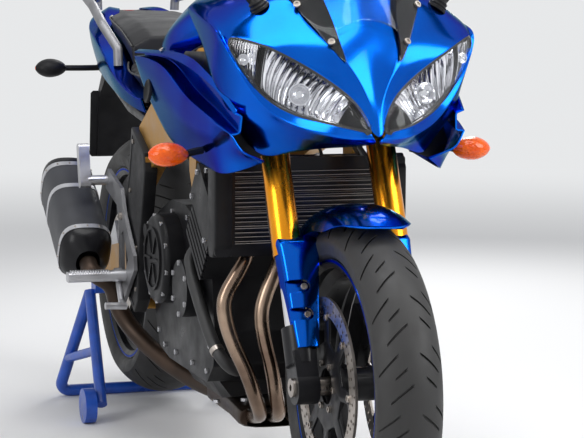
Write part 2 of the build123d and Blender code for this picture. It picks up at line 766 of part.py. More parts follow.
with BuildPart() as main_frame:
    add(ruled([(y, [(a, lo), (b, lo), (b, hi), (a, hi)]) for y, a, b, lo, hi in SPAR]))
    with BuildSketch(side(PLATE_IN)):
        with BuildLine():
            Polyline(*PLATE, close=True)
        make_face()
    extrude(amount=PLATE_OUT - PLATE_IN)
    with BuildSketch(side(150.0)):
        with BuildLine():
            Polyline((-262, 745), (-185, 725), (-190, 640), (-208, 608), (-232, 634), close=True)
        make_face()
    extrude(amount=SPAR_OUT - 150.0)
    mirror(about=Plane.YZ)
    with BuildSketch(fork_plane(LOWER_CLAMP + LOWER_CLAMP_T + HEAD_GAP)):
        with Locations((0, FORK_OFFSET)):
            Circle(HEAD_R)
    extrude(amount=TOP_CLAMP - LOWER_CLAMP - LOWER_CLAMP_T - 2 * HEAD_GAP)
    for y, z, high in ((170.0, 650.0, 34.0), (236.0, 312.0, 22.0)):
        with BuildSketch(side(-SPAR_IN - 22)):
            with Locations((y, z)):
                RectangleRounded(30, high, 8)
        extrude(amount=2 * SPAR_IN + 44)
    with BuildSketch(fork_plane(LOWER_CLAMP)):
        with Locations((0, FORK_OFFSET)):
            Circle(STEM_R + AXLE_CLEAR)
    extrude(amount=260.0, mode=Mode.SUBTRACT)
    with BuildSketch(side(BRACKET_X)):
        with BuildLine():
            Polyline((126, 244), (132, 282), (184, 336), (214, 330), (214, 304), (172, 246), close=True)
        make_face()
    extrude(amount=PLATE_IN - BRACKET_X)
    with BuildSketch(STAND_PLANE.offset(-9.0)):
        Circle(STAND_PIN_R)
    extrude(amount=9.0 + STAND_T + 5.0)
    with BuildSketch(STAND_PLANE.offset(-9.0)):
        Circle(15.0)
    extrude(amount=9.0 - RUN_FIT)
    with BuildSketch(side(-PLATE_OUT)):
        with Locations(PIVOT):
            Circle(PIVOT_R)
    extrude(amount=2 * PLATE_OUT, mode=Mode.SUBTRACT)
keep(main_frame.part, "main_frame")

with BuildPart() as pivot_shaft:
    with BuildSketch(side(-PLATE_OUT - 6)):
        with Locations(PIVOT):
            Circle(PIVOT_R)
    extrude(amount=2 * PLATE_OUT + 12)
ARM_LOW = 298.0  # lowest point of an arm's under side, which the paddock stand carries
ARM = (
    (205, 442), (262, 452), (400, 430), (560, 402), (705, 380), (778, 372),
    (784, 304), (705, ARM_LOW), (560, 322), (400, 352), (262, 372), (205, 382),
)
with BuildPart() as swingarm:
    with BuildSketch(side(ARM_IN)) as arm_side:
        with BuildLine():
            Polyline(*ARM, close=True)
        make_face()
        fillet(arm_side.vertices(), 8)
    extrude(amount=ARM_T)
    mirror(about=Plane.YZ)
    with BuildSketch(side(-ARM_IN - 5)):
        with Locations(PIVOT):
            Circle(PIVOT_R + 11)
        with Locations((330, 392)):
            RectangleRounded(34, 62, 10)
    extrude(amount=2 * ARM_IN + 10)
    with BuildSketch(side(-ARM_IN - ARM_T)):
        with Locations(PIVOT):
            Circle(PIVOT_R)
        with Locations((REAR_Y, REAR_Z)):
            Circle(REAR_AXLE_R)
    extrude(amount=2 * (ARM_IN + ARM_T), mode=Mode.SUBTRACT)
keep(swingarm.part, "swingarm")

BRACKET_T = 16.0
with BuildPart() as rear_axle:
    with BuildSketch(side(-ARM_IN - ARM_T - 14)):
        with Locations((REAR_Y, REAR_Z)):
            Circle(REAR_AXLE_R)
    extrude(amount=2 * (ARM_IN + ARM_T + 14))
    for start, length in (
        (-ARM_IN - ARM_T - 12, 12.0),
        (ARM_IN + ARM_T, 12.0),
        (-ARM_IN + BRACKET_T, ARM_IN - BRACKET_T - REAR_HUB_FACE - RUN_FIT),
        (DRIVE_HALF + RUN_FIT, ARM_IN - DRIVE_HALF - RUN_FIT),
    ):
        with BuildSketch(side(start)):
            with Locations((REAR_Y, REAR_Z)):
                Circle(20.0)
        extrude(amount=length)
    with BuildSketch(side(-ARM_IN - ARM_T - 20)):
        with Locations((REAR_Y, REAR_Z)):
            Circle(REAR_HOLLOW_R)
    extrude(amount=2 * (ARM_IN + ARM_T + 20), mode=Mode.SUBTRACT)
keep(together(rear_axle.part, pivot_shaft.part), "rear_axle_and_pivot")

with BuildPart() as rear_caliper:
    with BuildSketch(side(-ARM_IN)):
        with Locations((REAR_Y, REAR_Z)):
            Circle(27.0)
        with BuildLine():
            Polyline(
                (REAR_Y - 20, REAR_Z - 22), (REAR_Y - 128, REAR_Z + 40),
                (REAR_Y - 82, REAR_Z + 112), (REAR_Y + 14, REAR_Z + 24), close=True,
            )
        make_face()
    extrude(amount=BRACKET_T)
    with BuildSketch(side(REAR_DISC_X - 24)):
        with Locations(Location((REAR_Y - 88, REAR_Z + 76, 0), (0, 0, 139))):
            RectangleRounded(62, 92, 12)
    extrude(amount=46.0)
    with BuildSketch(wheel_side(REAR_HUB, REAR_DISC_X - DISC_T / 2 - CALIPER_GAP)):
        Circle(REAR_DISC_R + 6.0)
    extrude(amount=DISC_T + 2 * CALIPER_GAP, mode=Mode.SUBTRACT)
    with BuildSketch(side(-ARM_IN)):
        with Locations((REAR_Y, REAR_Z)):
            Circle(REAR_AXLE_R)
    extrude(amount=BRACKET_T, mode=Mode.SUBTRACT)
keep(rear_caliper.part, "rear_caliper")

RAIL_R = 13.0
RAIL = ((196, 112, 706), (330, 116, 700), (520, 116, 722), (700, 106, 758), (900, 100, 800))  # y, x, z
BAR_TUBE_R = 9.0
TAIL_BAR = (860.0, 790.0)
with BuildPart() as subframe:
    add(pipe([at(x, y, z) for y, x, z in RAIL], RAIL_R, bend=90.0))
    mirror(about=Plane.YZ)
    for y, z in ((480.0, 716.0), TAIL_BAR):
        with BuildSketch(side(-104.0)):
            with Locations((y, z)):
                Circle(BAR_TUBE_R)
        extrude(amount=208.0)
    with BuildSketch(side(105.0)):
        with Locations((198, 702)):
            RectangleRounded(30, 30, 6)
    extrude(amount=SPAR_IN - 105.0)
    with BuildSketch(side(-SPAR_IN)):
        with Locations((198, 702)):
            RectangleRounded(30, 30, 6)
    extrude(amount=SPAR_IN - 105.0)
keep(subframe.part, "rear_subframe")

SHOCK_TOP = (197.0, 640.0)
SHOCK_LOW = (301.0, 412.0)
SHOCK_EYE_R = 12.0
with BuildPart() as rear_shock:
    top = at(0, *SHOCK_TOP)
    low = at(0, *SHOCK_LOW)
    way = (low - top).normalized()
    for y, z in (SHOCK_TOP, SHOCK_LOW):
        with BuildSketch(side(-16.0)):
            with Locations((y, z)):
                Circle(SHOCK_EYE_R)
        extrude(amount=32.0)
    add(rod(top, low, 9.0))
    add(rod(top + way * 18, top + way * 70, 24.0))
    for turn in range(7):
        add(rod(top + way * (76 + turn * 18), top + way * (86 + turn * 18), 32.0))
    add(rod(top + way * 70, top + way * 206, 20.0))
keep(rear_shock.part, "rear_shock")

# Engine: crankcase, forward-leaning cylinder bank, covers and sump
CRANK = (-150.0, 400.0)
BANK_LEAN = math.radians(40.0)
CASE_HALF = 148.0
BANK_HALF = 178.0
HEAD_FRONT = -80.0  # front face of the cylinder head from the bank's middle
POCKET_X = 96.0
POCKET_Y = 92.0
BORE_STEP = 84.0
PLUG_WELL_R = 17.0
PLUG_BACK = -2.0


def bank_side(x):
    """A side view square to the cylinder bank: its own axes run rearwards and up the bores."""
    return Plane(
        origin=at(x, *CRANK),
        x_dir=(0, math.cos(BANK_LEAN), math.sin(BANK_LEAN)),
        z_dir=(1, 0, 0),
    )


CASE = (
    (-292, 330), (-282, 262), (-235, 222), (60, 222), (140, 236), (180, 300),
    (182, 430), (150, 525), (40, 560), (-70, 560), (-262, 500),
)
with BuildPart() as engine:
    with BuildSketch(side(-CASE_HALF)) as case_side:
        with BuildLine():
            Polyline(*CASE, close=True)
        make_face()
        fillet(case_side.vertices(), 12)
    extrude(amount=2 * CASE_HALF)
    for low, high, front, rear, half in (
        (98, 192, -70, 66, BANK_HALF - 6),
        (192, 285, HEAD_FRONT, 76, BANK_HALF),
        (285, 326, -56, 52, BANK_HALF - 8),
    ):
        with BuildSketch(bank_side(-half)):
            with Locations(((front + rear) / 2, (low + high) / 2)):
                RectangleRounded(rear - front, high - low + 0.2, 7)
        extrude(amount=2 * half)
    for step in range(5):
        with BuildSketch(bank_side(-BANK_HALF)):
            with Locations((-2, 110 + 16 * step)):
                Rectangle(180, 6)
        extrude(amount=12.0, mode=Mode.SUBTRACT)
        with BuildSketch(bank_side(BANK_HALF - 12.0)):
            with Locations((-2, 110 + 16 * step)):
                Rectangle(180, 6)
        extrude(amount=12.0, mode=Mode.SUBTRACT)
    with BuildSketch(side(-150.0)):
        with Locations((-224, 620)):
            Circle(14)
    extrude(amount=300.0)
    with BuildSketch(side(POCKET_X)):
        with BuildLine():
            Polyline((POCKET_Y, 330), (300, 330), (300, 500), (POCKET_Y, 500), close=True)
        make_face()
    extrude(amount=100.0, mode=Mode.SUBTRACT)
    with BuildSketch(side(POCKET_X)):
        with Locations((FRONT_SPROCKET.Y - MID_Y, FRONT_SPROCKET.Z)):
            Circle(SHAFT_R)
    extrude(amount=CHAIN_X + 8.0 - POCKET_X)
    add(
        ruled(
            [
                (-226, [(-120, 222), (120, 222), (96, 190), (-96, 190)]),
                (-180, [(-128, 222), (128, 222), (100, 178), (-100, 178)]),
                (40, [(-128, 222), (128, 222), (100, 178), (-100, 178)]),
            ]
        )
    )
    for x in (-3 * BORE_STEP / 2, -BORE_STEP / 2, BORE_STEP / 2, 3 * BORE_STEP / 2):
        with BuildSketch(bank_side(x).offset(-PLUG_WELL_R)) as well_side:
            with Locations((PLUG_BACK, 330)):
                RectangleRounded(2 * PLUG_WELL_R, 12, 4)
        extrude(amount=2 * PLUG_WELL_R)
    add(rod(at(30, -280, 294), at(30, -300, 290), 24.0))
    add(rod(at(30, -298, 291), at(30, -356, 276), 34.0))
keep(engine.part, "engine")

RIB_H = 4.0  # raised ribs and rings of the cast covers
with BuildPart() as clutch_cover:
    with BuildSketch(side(-CASE_HALF - 46.0)):
        with Locations((18, 440)):
            Circle(94)
    extrude(amount=46.0)
    fillet(clutch_cover.faces().sort_by(Axis.X)[0].edges(), 14)
    with BuildSketch(side(-CASE_HALF - 46.0)):
        with Locations((18, 440)):
            Circle(66)
            Circle(60, mode=Mode.SUBTRACT)
            with PolarLocations(36, 6):
                Rectangle(46, 5)
        with Locations((72, 492)):
            Circle(15)
    extrude(amount=-RIB_H)
    with BuildSketch(side(-CASE_HALF - 34.0)):
        with Locations((-150, 400)):
            Circle(58)
    extrude(amount=34.0)
with BuildPart() as generator_cover:
    with BuildSketch(side(CASE_HALF)):
        with Locations((-150, 400)):
            Circle(84)
    extrude(amount=50.0)
    fillet(generator_cover.faces().sort_by(Axis.X)[-1].edges(), 14)
    with BuildSketch(side(CASE_HALF + 50.0)):
        with Locations((-150, 400)):
            Circle(56)
            Circle(50, mode=Mode.SUBTRACT)
    extrude(amount=RIB_H)
with BuildPart() as water_pump:
    with BuildSketch(side(CASE_HALF)):
        with Locations((-8, 290)):
            Circle(32)
    extrude(amount=26.0)
    fillet(water_pump.faces().sort_by(Axis.X)[-1].edges(), 8)
    add(rod(at(CASE_HALF + 13, -8, 290), at(CASE_HALF + 13, -62, 268), 11.0))
COVER = ((POCKET_Y, 345), (POCKET_Y, 486), (150, 498), (190, 482), (200, 420), (190, 352), (150, 334))
with BuildPart() as sprocket_cover:
    with BuildSketch(side(POCKET_X)):
        with BuildLine():
            Polyline(*COVER, close=True)
        make_face()
    extrude(amount=CASE_HALF + 6.0 - POCKET_X)
    with BuildSketch(side(POCKET_X)):
        with BuildLine():
            Polyline(*COVER, close=True)
        make_face()
        offset(amount=-5.0)
    extrude(amount=CASE_HALF - POCKET_X, mode=Mode.SUBTRACT)
    with BuildSketch(side(POCKET_X)):
        with BuildLine():
            Polyline((172, 320), (260, 320), (260, 520), (172, 520), close=True)
        make_face()
    extrude(amount=CASE_HALF - 10.0 - POCKET_X, mode=Mode.SUBTRACT)
keep(
    together(clutch_cover.part, generator_cover.part, water_pump.part, sprocket_cover.part),
    "engine_covers",
)

# Radiator with side tanks, stays and the lower hose
CORE_HALF = 156.0
RAD_FRONT = -442.0
RAD_BACK = -414.0
RAD_LOW = 500.0
RAD_TOP = 686.0
FIN_PITCH = 9.5
RAD_STAY_TOP = (-272.0, -299.0)  # where the stays meet the frame's spars
with BuildPart() as radiator:
    with BuildSketch(across(RAD_BACK)):
        with Locations((0, (RAD_LOW + RAD_TOP) / 2)):
            Rectangle(2 * CORE_HALF, RAD_TOP - RAD_LOW - 16)
    extrude(amount=RAD_BACK - RAD_FRONT)
    fins = int((RAD_TOP - RAD_LOW - 40) / FIN_PITCH)
    with BuildSketch(across(RAD_FRONT)):
        with Locations((0, (RAD_LOW + RAD_TOP) / 2)):
            with GridLocations(1, FIN_PITCH, 1, fins):
                Rectangle(2 * CORE_HALF - 10, FIN_PITCH * 0.6)
    extrude(amount=-6.0, mode=Mode.SUBTRACT)
    with BuildSketch(across(RAD_BACK)):
        for way in (-1, 1):
            with Locations((way * (CORE_HALF + 17), (RAD_LOW + RAD_TOP) / 2)):
                RectangleRounded(34, RAD_TOP - RAD_LOW, 8)
        for z in (RAD_LOW + 6, RAD_TOP - 6):
            with Locations((0, z)):
                Rectangle(2 * CORE_HALF + 4, 12)
    extrude(amount=RAD_BACK - RAD_FRONT)
    for x in (-112.0, 100.0):
        with BuildSketch(side(x)):
            with BuildLine():
                Polyline(
                    (RAD_FRONT, RAD_TOP), (RAD_BACK, RAD_TOP),
                    *((y, between(SPAR, y)[3] - RUN_FIT) for y in RAD_STAY_TOP), close=True,
                )
            make_face()
        extrude(amount=12.0)
keep(radiator.part, "radiator")

with BuildPart() as coolant_hose:
    add(
        pipe(
            [
                at(-172, -428, RAD_LOW), at(-172, -428, RAD_LOW - 38), at(-158, -392, 410),
                at(-152, -388, 300), at(-124, -290, 250),
            ],
            12.5, bend=30.0,
        )
    )
keep(coolant_hose.part, "coolant_hose")

# Exhaust: four headers down the front, collector below, pipe up the right to the silencer
HEADER_R = 17.5
PORT_UP = 235.0  # exhaust ports up the bank from the crank
PORT_FLANGE_R = 25.0
HEADERS = (
    (
        (-104, -368, 524), (-92, -394, 500), (-82, -397, 440), (-113, -396, 374),
        (-62, -396, 216), (-58, -350, 152), (-58, -236, 150),
    ),
    (
        (-38, -368, 524), (-36, -394, 500), (-36, -397, 440), (-75, -396, 372),
        (-22, -396, 210), (-20, -350, 152), (-20, -236, 150),
    ),
)
MUFFLER_FROM = at(-256, 362, 389)
MUFFLER_TO = at(-248, 665, 560)
muffler_way = MUFFLER_TO - MUFFLER_FROM
with BuildPart() as exhaust_headers:
    for run in HEADERS:
        for way in (1, -1):
            add(pipe([at(way * x, y, z) for x, y, z in run], HEADER_R, bend=26.0))
            port = bank_side(way * run[0][0]).from_local_coords(Vector(HEAD_FRONT, PORT_UP, 0))
            with BuildSketch(Plane(origin=port, x_dir=(1, 0, 0), z_dir=-bank_side(0).x_dir)):
                Circle(PORT_FLANGE_R)
            extrude(amount=8.0)
    add(
        ruled(
            [
                (-250, [(-80, 130), (80, 130), (80, 170), (-80, 170)]),
                (-120, [(-70, 122), (70, 122), (70, 174), (-70, 174)]),
                (70, [(-66, 120), (20, 120), (20, 172), (-66, 172)]),
            ]
        )
    )
    add(
        pipe(
            [
                at(-40, 60, 146), at(-62, 140, 148), at(-120, 262, 196), at(-176, 334, 256),
                at(-200, 344, 330), MUFFLER_FROM - muffler_way.normalized() * 34.0, MUFFLER_FROM,
            ],
            20.0, bend=32.0,
        )
    )
keep(exhaust_headers.part, "exhaust_headers")

def muffler_plane(along):
    return Plane(
        origin=MUFFLER_FROM + muffler_way.normalized() * along,
        x_dir=(1, 0, 0),
        z_dir=muffler_way.normalized(),
    )


with BuildPart() as muffler:
    # distance along the silencer, width, depth, corner radius
    for along, wide, deep, corner in (
        (0, 60, 70, 28), (22, 104, 118, 42), (44, 116, 134, 46), (300, 116, 134, 46), (330, 104, 122, 42),
    ):
        with BuildSketch(muffler_plane(along)):
            RectangleRounded(wide, deep, corner)
    loft(ruled=True)
    with BuildSketch(muffler_plane(330)):
        Circle(26)
    extrude(amount=26.0)
    with BuildSketch(muffler_plane(356)):
        Circle(22)
    extrude(amount=-90.0, mode=Mode.SUBTRACT)
keep(muffler.part, "muffler")


# Tank, seats and tail: lofts through rounded sections, each given by its right half
def rounded_loft(sections, corner, plane_of=across):
    """A body through rounded sections: a station, then its right half from the top down."""
    with BuildPart() as body:
        for station, half in sections:
            outline = [*half, *((-x, z) for x, z in reversed(half))]
            with BuildSketch(plane_of(station)) as section:
                with BuildLine():
                    Polyline(*outline, close=True)
                make_face()
                fillet(section.vertices(), corner)
        loft(ruled=True)
    return body.part


def spar_top(y):
    """The height of the frame spar's upper edge at y."""
    return between(SPAR, y)[-1]


TANK = (
    (-296, ((56, 992), (104, 966), (96, 926))),
    (-240, ((84, 1014), (146, 955), (138, 895))),
    (-140, ((94, 1020), (164, 932), (152, 864))),
    (-20, ((92, 1006), (165, 896), (150, 822))),
    (90, ((78, 962), (146, 862), (128, 778))),
    (170, ((58, 894), (108, 824), (96, 744))),
)
CAP_Y = -150.0
CAP_Z = 1026.0
CAP_R = 38.0
CAP_T = 8.0
PAD_HALF = 9.0
# The cap's hinge: a knuckle between two ears of the tank, on a fixed pin
HINGE_Y = CAP_Y - CAP_R - 12.0
HINGE_Z = CAP_Z + RUN_FIT + CAP_T / 2
KNUCKLE_HALF = 6.0
HINGE_PIN_R = 1.6
HINGE_CLEAR = 0.05
EAR_IN = KNUCKLE_HALF + RUN_FIT
HINGE_EAR_T = 4.0
with BuildPart() as fuel_tank:
    add(rounded_loft(TANK, 9.0))
    with BuildSketch(level(CAP_Z)):
        with Locations((0, CAP_Y)):
            Circle(CAP_R + 6)
    extrude(amount=-30.0)
    for y in (-190.0, 60.0):
        for x in (-SPAR_IN - 18, SPAR_IN):
            with BuildSketch(side(x)):
                with BuildLine():
                    Polyline(
                        (y - PAD_HALF, spar_top(y - PAD_HALF)), (y + PAD_HALF, spar_top(y + PAD_HALF)),
                        (y + PAD_HALF, spar_top(y) + 24), (y - PAD_HALF, spar_top(y) + 24), close=True,
                    )
                make_face()
            extrude(amount=18.0)
    for x in (-EAR_IN - HINGE_EAR_T, EAR_IN):
        with BuildSketch(side(x)):
            with Locations((HINGE_Y, HINGE_Z)):
                Circle(CAP_T / 2)
            with Locations((HINGE_Y, HINGE_Z - 12.0)):
                Rectangle(CAP_T, 24.0)
        extrude(amount=HINGE_EAR_T)
    with BuildSketch(side(-EAR_IN)):
        with Locations((HINGE_Y, HINGE_Z)):
            Circle(HINGE_PIN_R)
    extrude(amount=2 * EAR_IN)
keep(fuel_tank.part, "fuel_tank")

with BuildPart() as fuel_cap:
    with BuildSketch(level(CAP_Z + RUN_FIT)):
        with Locations((0, CAP_Y)):
            Circle(CAP_R)
        with Locations((0, (CAP_Y - CAP_R + HINGE_Y) / 2 + 2.0)):
            Rectangle(2 * KNUCKLE_HALF, CAP_Y - CAP_R - HINGE_Y + 4.0)
    extrude(amount=CAP_T)
    with BuildSketch(side(-KNUCKLE_HALF)):
        with Locations((HINGE_Y, HINGE_Z)):
            Circle(CAP_T / 2)
    extrude(amount=2 * KNUCKLE_HALF)
    with BuildSketch(side(-KNUCKLE_HALF)):
        with Locations((HINGE_Y, HINGE_Z)):
            Circle(HINGE_PIN_R + HINGE_CLEAR)
    extrude(amount=2 * KNUCKLE_HALF, mode=Mode.SUBTRACT)
keep(fuel_cap.part, "fuel_cap")

# Tail: y, then top, shoulder and lower edge as x and z
TAIL = (
    (262, ((128, 764), (160, 756), (152, 728))),
    (390, ((130, 769), (166, 762), (156, 734))),
    (476, ((130, 788), (168, 792), (158, 748))),
    (600, ((124, 852), (166, 846), (150, 768))),
    (740, ((118, 884), (158, 880), (140, 788))),
    (850, ((100, 902), (146, 894), (128, 822))),
    (960, ((70, 944), (112, 918), (96, 850))),
    (1050, ((44, 937), (72, 922), (60, 884))),
)


TAIL_POSTS = (590.0, 730.0)  # moulded posts that stand on the subframe's rails
POST_R = 8.0


def on_tail(y):
    """The height of a seat's under side at y."""
    return between([(station, half[0][1]) for station, half in TAIL], y)[1] + RUN_FIT


with BuildPart() as rider_seat:
    add(
        rounded_loft(
            (
                (178, ((52, 845), (84, 822), (78, 800))),
                (280, ((80, 814), (132, 796), (126, on_tail(280)))),
                (390, ((96, 816), (150, 802), (129, on_tail(390)))),
                (474, ((92, 842), (138, 826), (129, on_tail(474)))),
            ),
            7.0,
        )
    )
keep(rider_seat.part, "rider_seat")

with BuildPart() as pillion_seat:
    add(
        rounded_loft(
            (
                (480, ((84, 884), (128, 860), (124, on_tail(480)))),
                (600, ((82, 915), (124, 896), (118, on_tail(600)))),
                (740, ((78, 927), (116, 914), (110, on_tail(740)))),
                (850, ((60, 936), (90, 926), (84, on_tail(850)))),
            ),
            7.0,
        )
    )
keep(pillion_seat.part, "pillion_seat")

with BuildPart() as tail_cowl:
    add(rounded_loft(TAIL, 6.0))
    for y in TAIL_POSTS:
        _, rail_x, rail_z = between(RAIL, y + POST_R)
        with BuildSketch(level(rail_z + RAIL_R + 2 * RUN_FIT)):
            with Locations((rail_x, y), (-rail_x, y)):
                Circle(POST_R)
        extrude(amount=40.0)
keep(tail_cowl.part, "tail_cowl")

with BuildPart() as tail_lamp:
    with BuildSketch(across(1050)):
        with Locations((0, 912)):
            RectangleRounded(104, 40, 12)
    extrude(amount=-14.0)
keep(tail_lamp.part, "tail_lamp")

# Rear mudguard with its bare plate
with BuildPart() as rear_mudguard:
    with BuildSketch(side(-66.0)):
        with BuildLine():
            Polyline(
                (640, 700), (700, 735), (TAIL_BAR[0], TAIL_BAR[1] - (BAR_TUBE_R + RUN_FIT) * 1.055), (1000, 826),
                (1090, 730), (1108, 560), (1102, 560), (1080, 712), (985, 786), (870, 742), (720, 700), (650, 684),
                close=True,
            )
        make_face()
    extrude(amount=132.0)
keep(rear_mudguard.part, "rear_mudguard")

with BuildPart() as number_plate:
    with BuildSketch(Plane(origin=at(0, 1108, 560), x_dir=(-1, 0, 0), z_dir=(0, 170, 18))):
        with Locations((0, 85)):
            RectangleRounded(170, 165, 8)
    extrude(amount=1.5)
keep(number_plate.part, "number_plate")

GRAB_R = 11.0
with BuildPart() as grab_rails:
    add(
        pipe(
            [
                at(148, 520, 817), at(149, 522, 856), at(176, 566, 912), at(178, 650, 950),
                at(166, 800, 974), at(126, 916, 974), at(98, 953, 964), at(97, 954, 934),
            ],
            GRAB_R, bend=16.0,
        )
    )
    mirror(about=Plane.YZ)
keep(grab_rails.part, "grab_rails")

# Nose cowl: an outer form less an inner form, less the lamp windows and the cockpit
# y, top z, then right half from the shoulder down
NOSE = (
    (-819, ((0, 768), (8, 766), (13, 761), (14, 753), (12, 746), (8, 742))),
    (-780, ((0, 858), (30, 850), (49, 832), (96, 776), (88, 752), (58, 738))),
    (-745, ((0, 938), (72, 926), (134, 888), (141, 830), (132, 768), (108, 732))),
    (-700, ((0, 1002), (110, 976), (203, 919), (207, 868), (182, 760), (130, 720))),
    (-668, ((0, 1040), (156, 985), (222, 936), (237, 905), (212, 800), (150, 710))),
    (-600, ((0, 1062), (188, 976), (238, 934), (248, 896), (232, 782), (164, 698))),
    (-520, ((0, 1070), (196, 966), (242, 930), (251, 900), (240, 800), (180, 690))),
    (-400, ((0, 1070), (180, 990), (228, 968), (240, 952), (240, 860), (190, 690))),
)


def nose_form(inset, drop):
    """The nose's form, drawn in by inset all round and lengthened below by drop."""
    sections = []
    for y, half in NOSE:
        wide = max(x for x, _ in half)
        top, low = half[0][1], half[-1][1]
        middle = (top + low) / 2
        scale_x = max(1 - inset / wide, 0.4)
        scale_z = max(1 - 2 * inset / (top - low), 0.4)
        drawn = [(x * scale_x, middle + (z - middle) * scale_z) for x, z in half]
        drawn[-1] = (drawn[-1][0], drawn[-1][1] - drop)
        outline = drawn + [(-x, z) for x, z in reversed(drawn) if x > 0]
        sections.append((y + (inset if y < -760 else 0.0), outline))
    return ruled(sections)


def lamp_window(grow):
    """The headlamp's outline as a prism along Y."""
    with BuildPart() as window:
        with BuildSketch(across(-600)):
            with BuildLine():
                ThreePointArc((12, 764), (45, 826), (124, 881))
                ThreePointArc((124, 881), (178, 909), (227, 923))
                Line((227, 923), (233, 906))
                ThreePointArc((233, 906), (205, 853), (148, 795))
                ThreePointArc((148, 795), (90, 774), (12, 764))
            make_face()
            if grow:
                offset(amount=grow, kind=Kind.INTERSECTION)
        extrude(amount=260.0)
        mirror(about=Plane.YZ)
    return window.part


# z, middle y, half width, edge y of the windscreen's outer face
SCREEN = (
    (900, -768, 60, -742),
    (985, -728, 126, -668),
    (1070, -688, 150, -606),
    (1150, -634, 136, -560),
    (1205, -586, 92, -545),
)
SCREEN_T = 3.0
COCKPIT_BACK = -380.0


def screen_form(shift, back=None):
    """A body behind the windscreen's face; without a back it is as thin as the screen."""
    with BuildPart() as form:
        for z, mid_y, half, edge_y in SCREEN:
            with BuildSketch(level(z)):
                with BuildLine():
                    ThreePointArc((-half, edge_y + shift), (0, mid_y + shift), (half, edge_y + shift))
                    if back is None:
                        far = shift + SCREEN_T
                        Line((half, edge_y + shift), (half, edge_y + far))
                        ThreePointArc((half, edge_y + far), (0, mid_y + far), (-half, edge_y + far))
                        Line((-half, edge_y + far), (-half, edge_y + shift))
                    else:
                        Polyline((half, edge_y + shift), (half, back), (-half, back))
                        Line((-half, back), (-half, edge_y + shift))
                make_face()
        loft(ruled=True)
    return form.part


LAMP_BACK = -640.0
nose_outer = nose_form(0.0, 0.0)
nose_inner = nose_form(PANEL_T, 30.0)
nose_deep = nose_form(3 * PANEL_T, 0.0)
cockpit = screen_form(-1.0, COCKPIT_BACK)
windows = lamp_window(0.0)
with BuildPart() as back_cut:
    with BuildSketch(side(-320.0)):
        with BuildLine():
            Polyline(
                (-640, 600), (-640, 838), (-590, 872), (-530, 906), (-395, 962), (-340, 980), (-340, 600),
                close=True,
            )
        make_face()
    extrude(amount=640.0)
with BuildPart() as top_cut:
    with BuildSketch(side(-320.0)):
        with BuildLine():
            Polyline(
                (-668, 1250), (-668, 1000), (-600, 1000), (-395, 968), (-340, 968), (-340, 1250),
                close=True,
            )
        make_face()
    extrude(amount=640.0)
with BuildPart() as nose_cowl:
    add(nose_outer - nose_inner - cockpit - windows - back_cut.part - top_cut.part)
keep(nose_cowl.part, "nose_cowl")

with BuildPart() as headlamp_lenses:
    add((nose_outer - nose_inner) & lamp_window(-0.6))
keep(headlamp_lenses.part, "headlamp_lenses")

with BuildPart() as lamp_depth:
    with BuildSketch(side(-320.0)):
        with BuildLine():
            Polyline((-830, 700), (LAMP_BACK, 700), (LAMP_BACK, 960), (-830, 960), close=True)
        make_face()
    extrude(amount=640.0)
with BuildPart() as headlamps:
    add((nose_deep & lamp_window(-5.0)) & lamp_depth.part)
keep(headlamps.part, "headlamp_units")

with BuildPart() as windscreen:
    add(screen_form(-0.8))
keep(windscreen.part, "windscreen")

# Side cowls: a section from the blade's upper edge, over the slot's floor and the crease, to the lower edge
# y, blade top z, blade low z, crease z, belly x and z, lower edge x and z
SIDE_COWL = (
    (30, 874, 866, 860, 229, 853, 226, 843),
    (-30, 880, 871, 862, 231, 838, 225, 797),
    (-120, 886, 875, 862, 234, 822, 225, 757),
    (-225, 890, 875, 851, 238, 796, 225, 710),
    (-335, 890, 868, 816, 240, 768, 227, 693),
    (-431, 890, 864, 795, 240, 744, 222, 683),
    (-579, 868, 850, 770, 236, 732, 214, 667),
    (-639, 838, 826, 752, 226, 724, 196, 688),
)
BLADE_X = 232.0
CREASE_X = 236.0
FLOOR_X = 208.0


def cowl_section(row):
    """The cowl's outer line from the top down, then its inner line back up."""
    _, blade_top, blade_low, crease, belly_x, belly_z, edge_x, edge_z = row
    outer = [
        (BLADE_X - 8, blade_top), (BLADE_X, blade_low), (FLOOR_X, blade_low - 1), (FLOOR_X, crease + 2),
        (CREASE_X - 2, crease), (belly_x, belly_z), (edge_x, edge_z),
    ]
    inner = [
        (edge_x - PANEL_T, edge_z), (belly_x - PANEL_T, belly_z), (CREASE_X - 2 - PANEL_T, crease - PANEL_T),
        (FLOOR_X - PANEL_T, crease - PANEL_T + 2), (FLOOR_X - PANEL_T, blade_low + PANEL_T * 0.6),
        (BLADE_X - 9, blade_low + PANEL_T * 0.6), (BLADE_X - 12, blade_top),
    ]
    return row[0], outer + inner


STUDS = ((-190.0, 845.0), (-60.0, 805.0))
with BuildPart() as side_cowls:
    add(ruled([cowl_section(row) for row in SIDE_COWL]))
    for y, z in STUDS:
        with BuildSketch(side(SPAR_OUT)):
            with Locations((y, z)):
                Circle(9.0)
        extrude(amount=FLOOR_X + 24 - SPAR_OUT)
    mirror(about=Plane.YZ)
keep(side_cowls.part, "side_cowls")

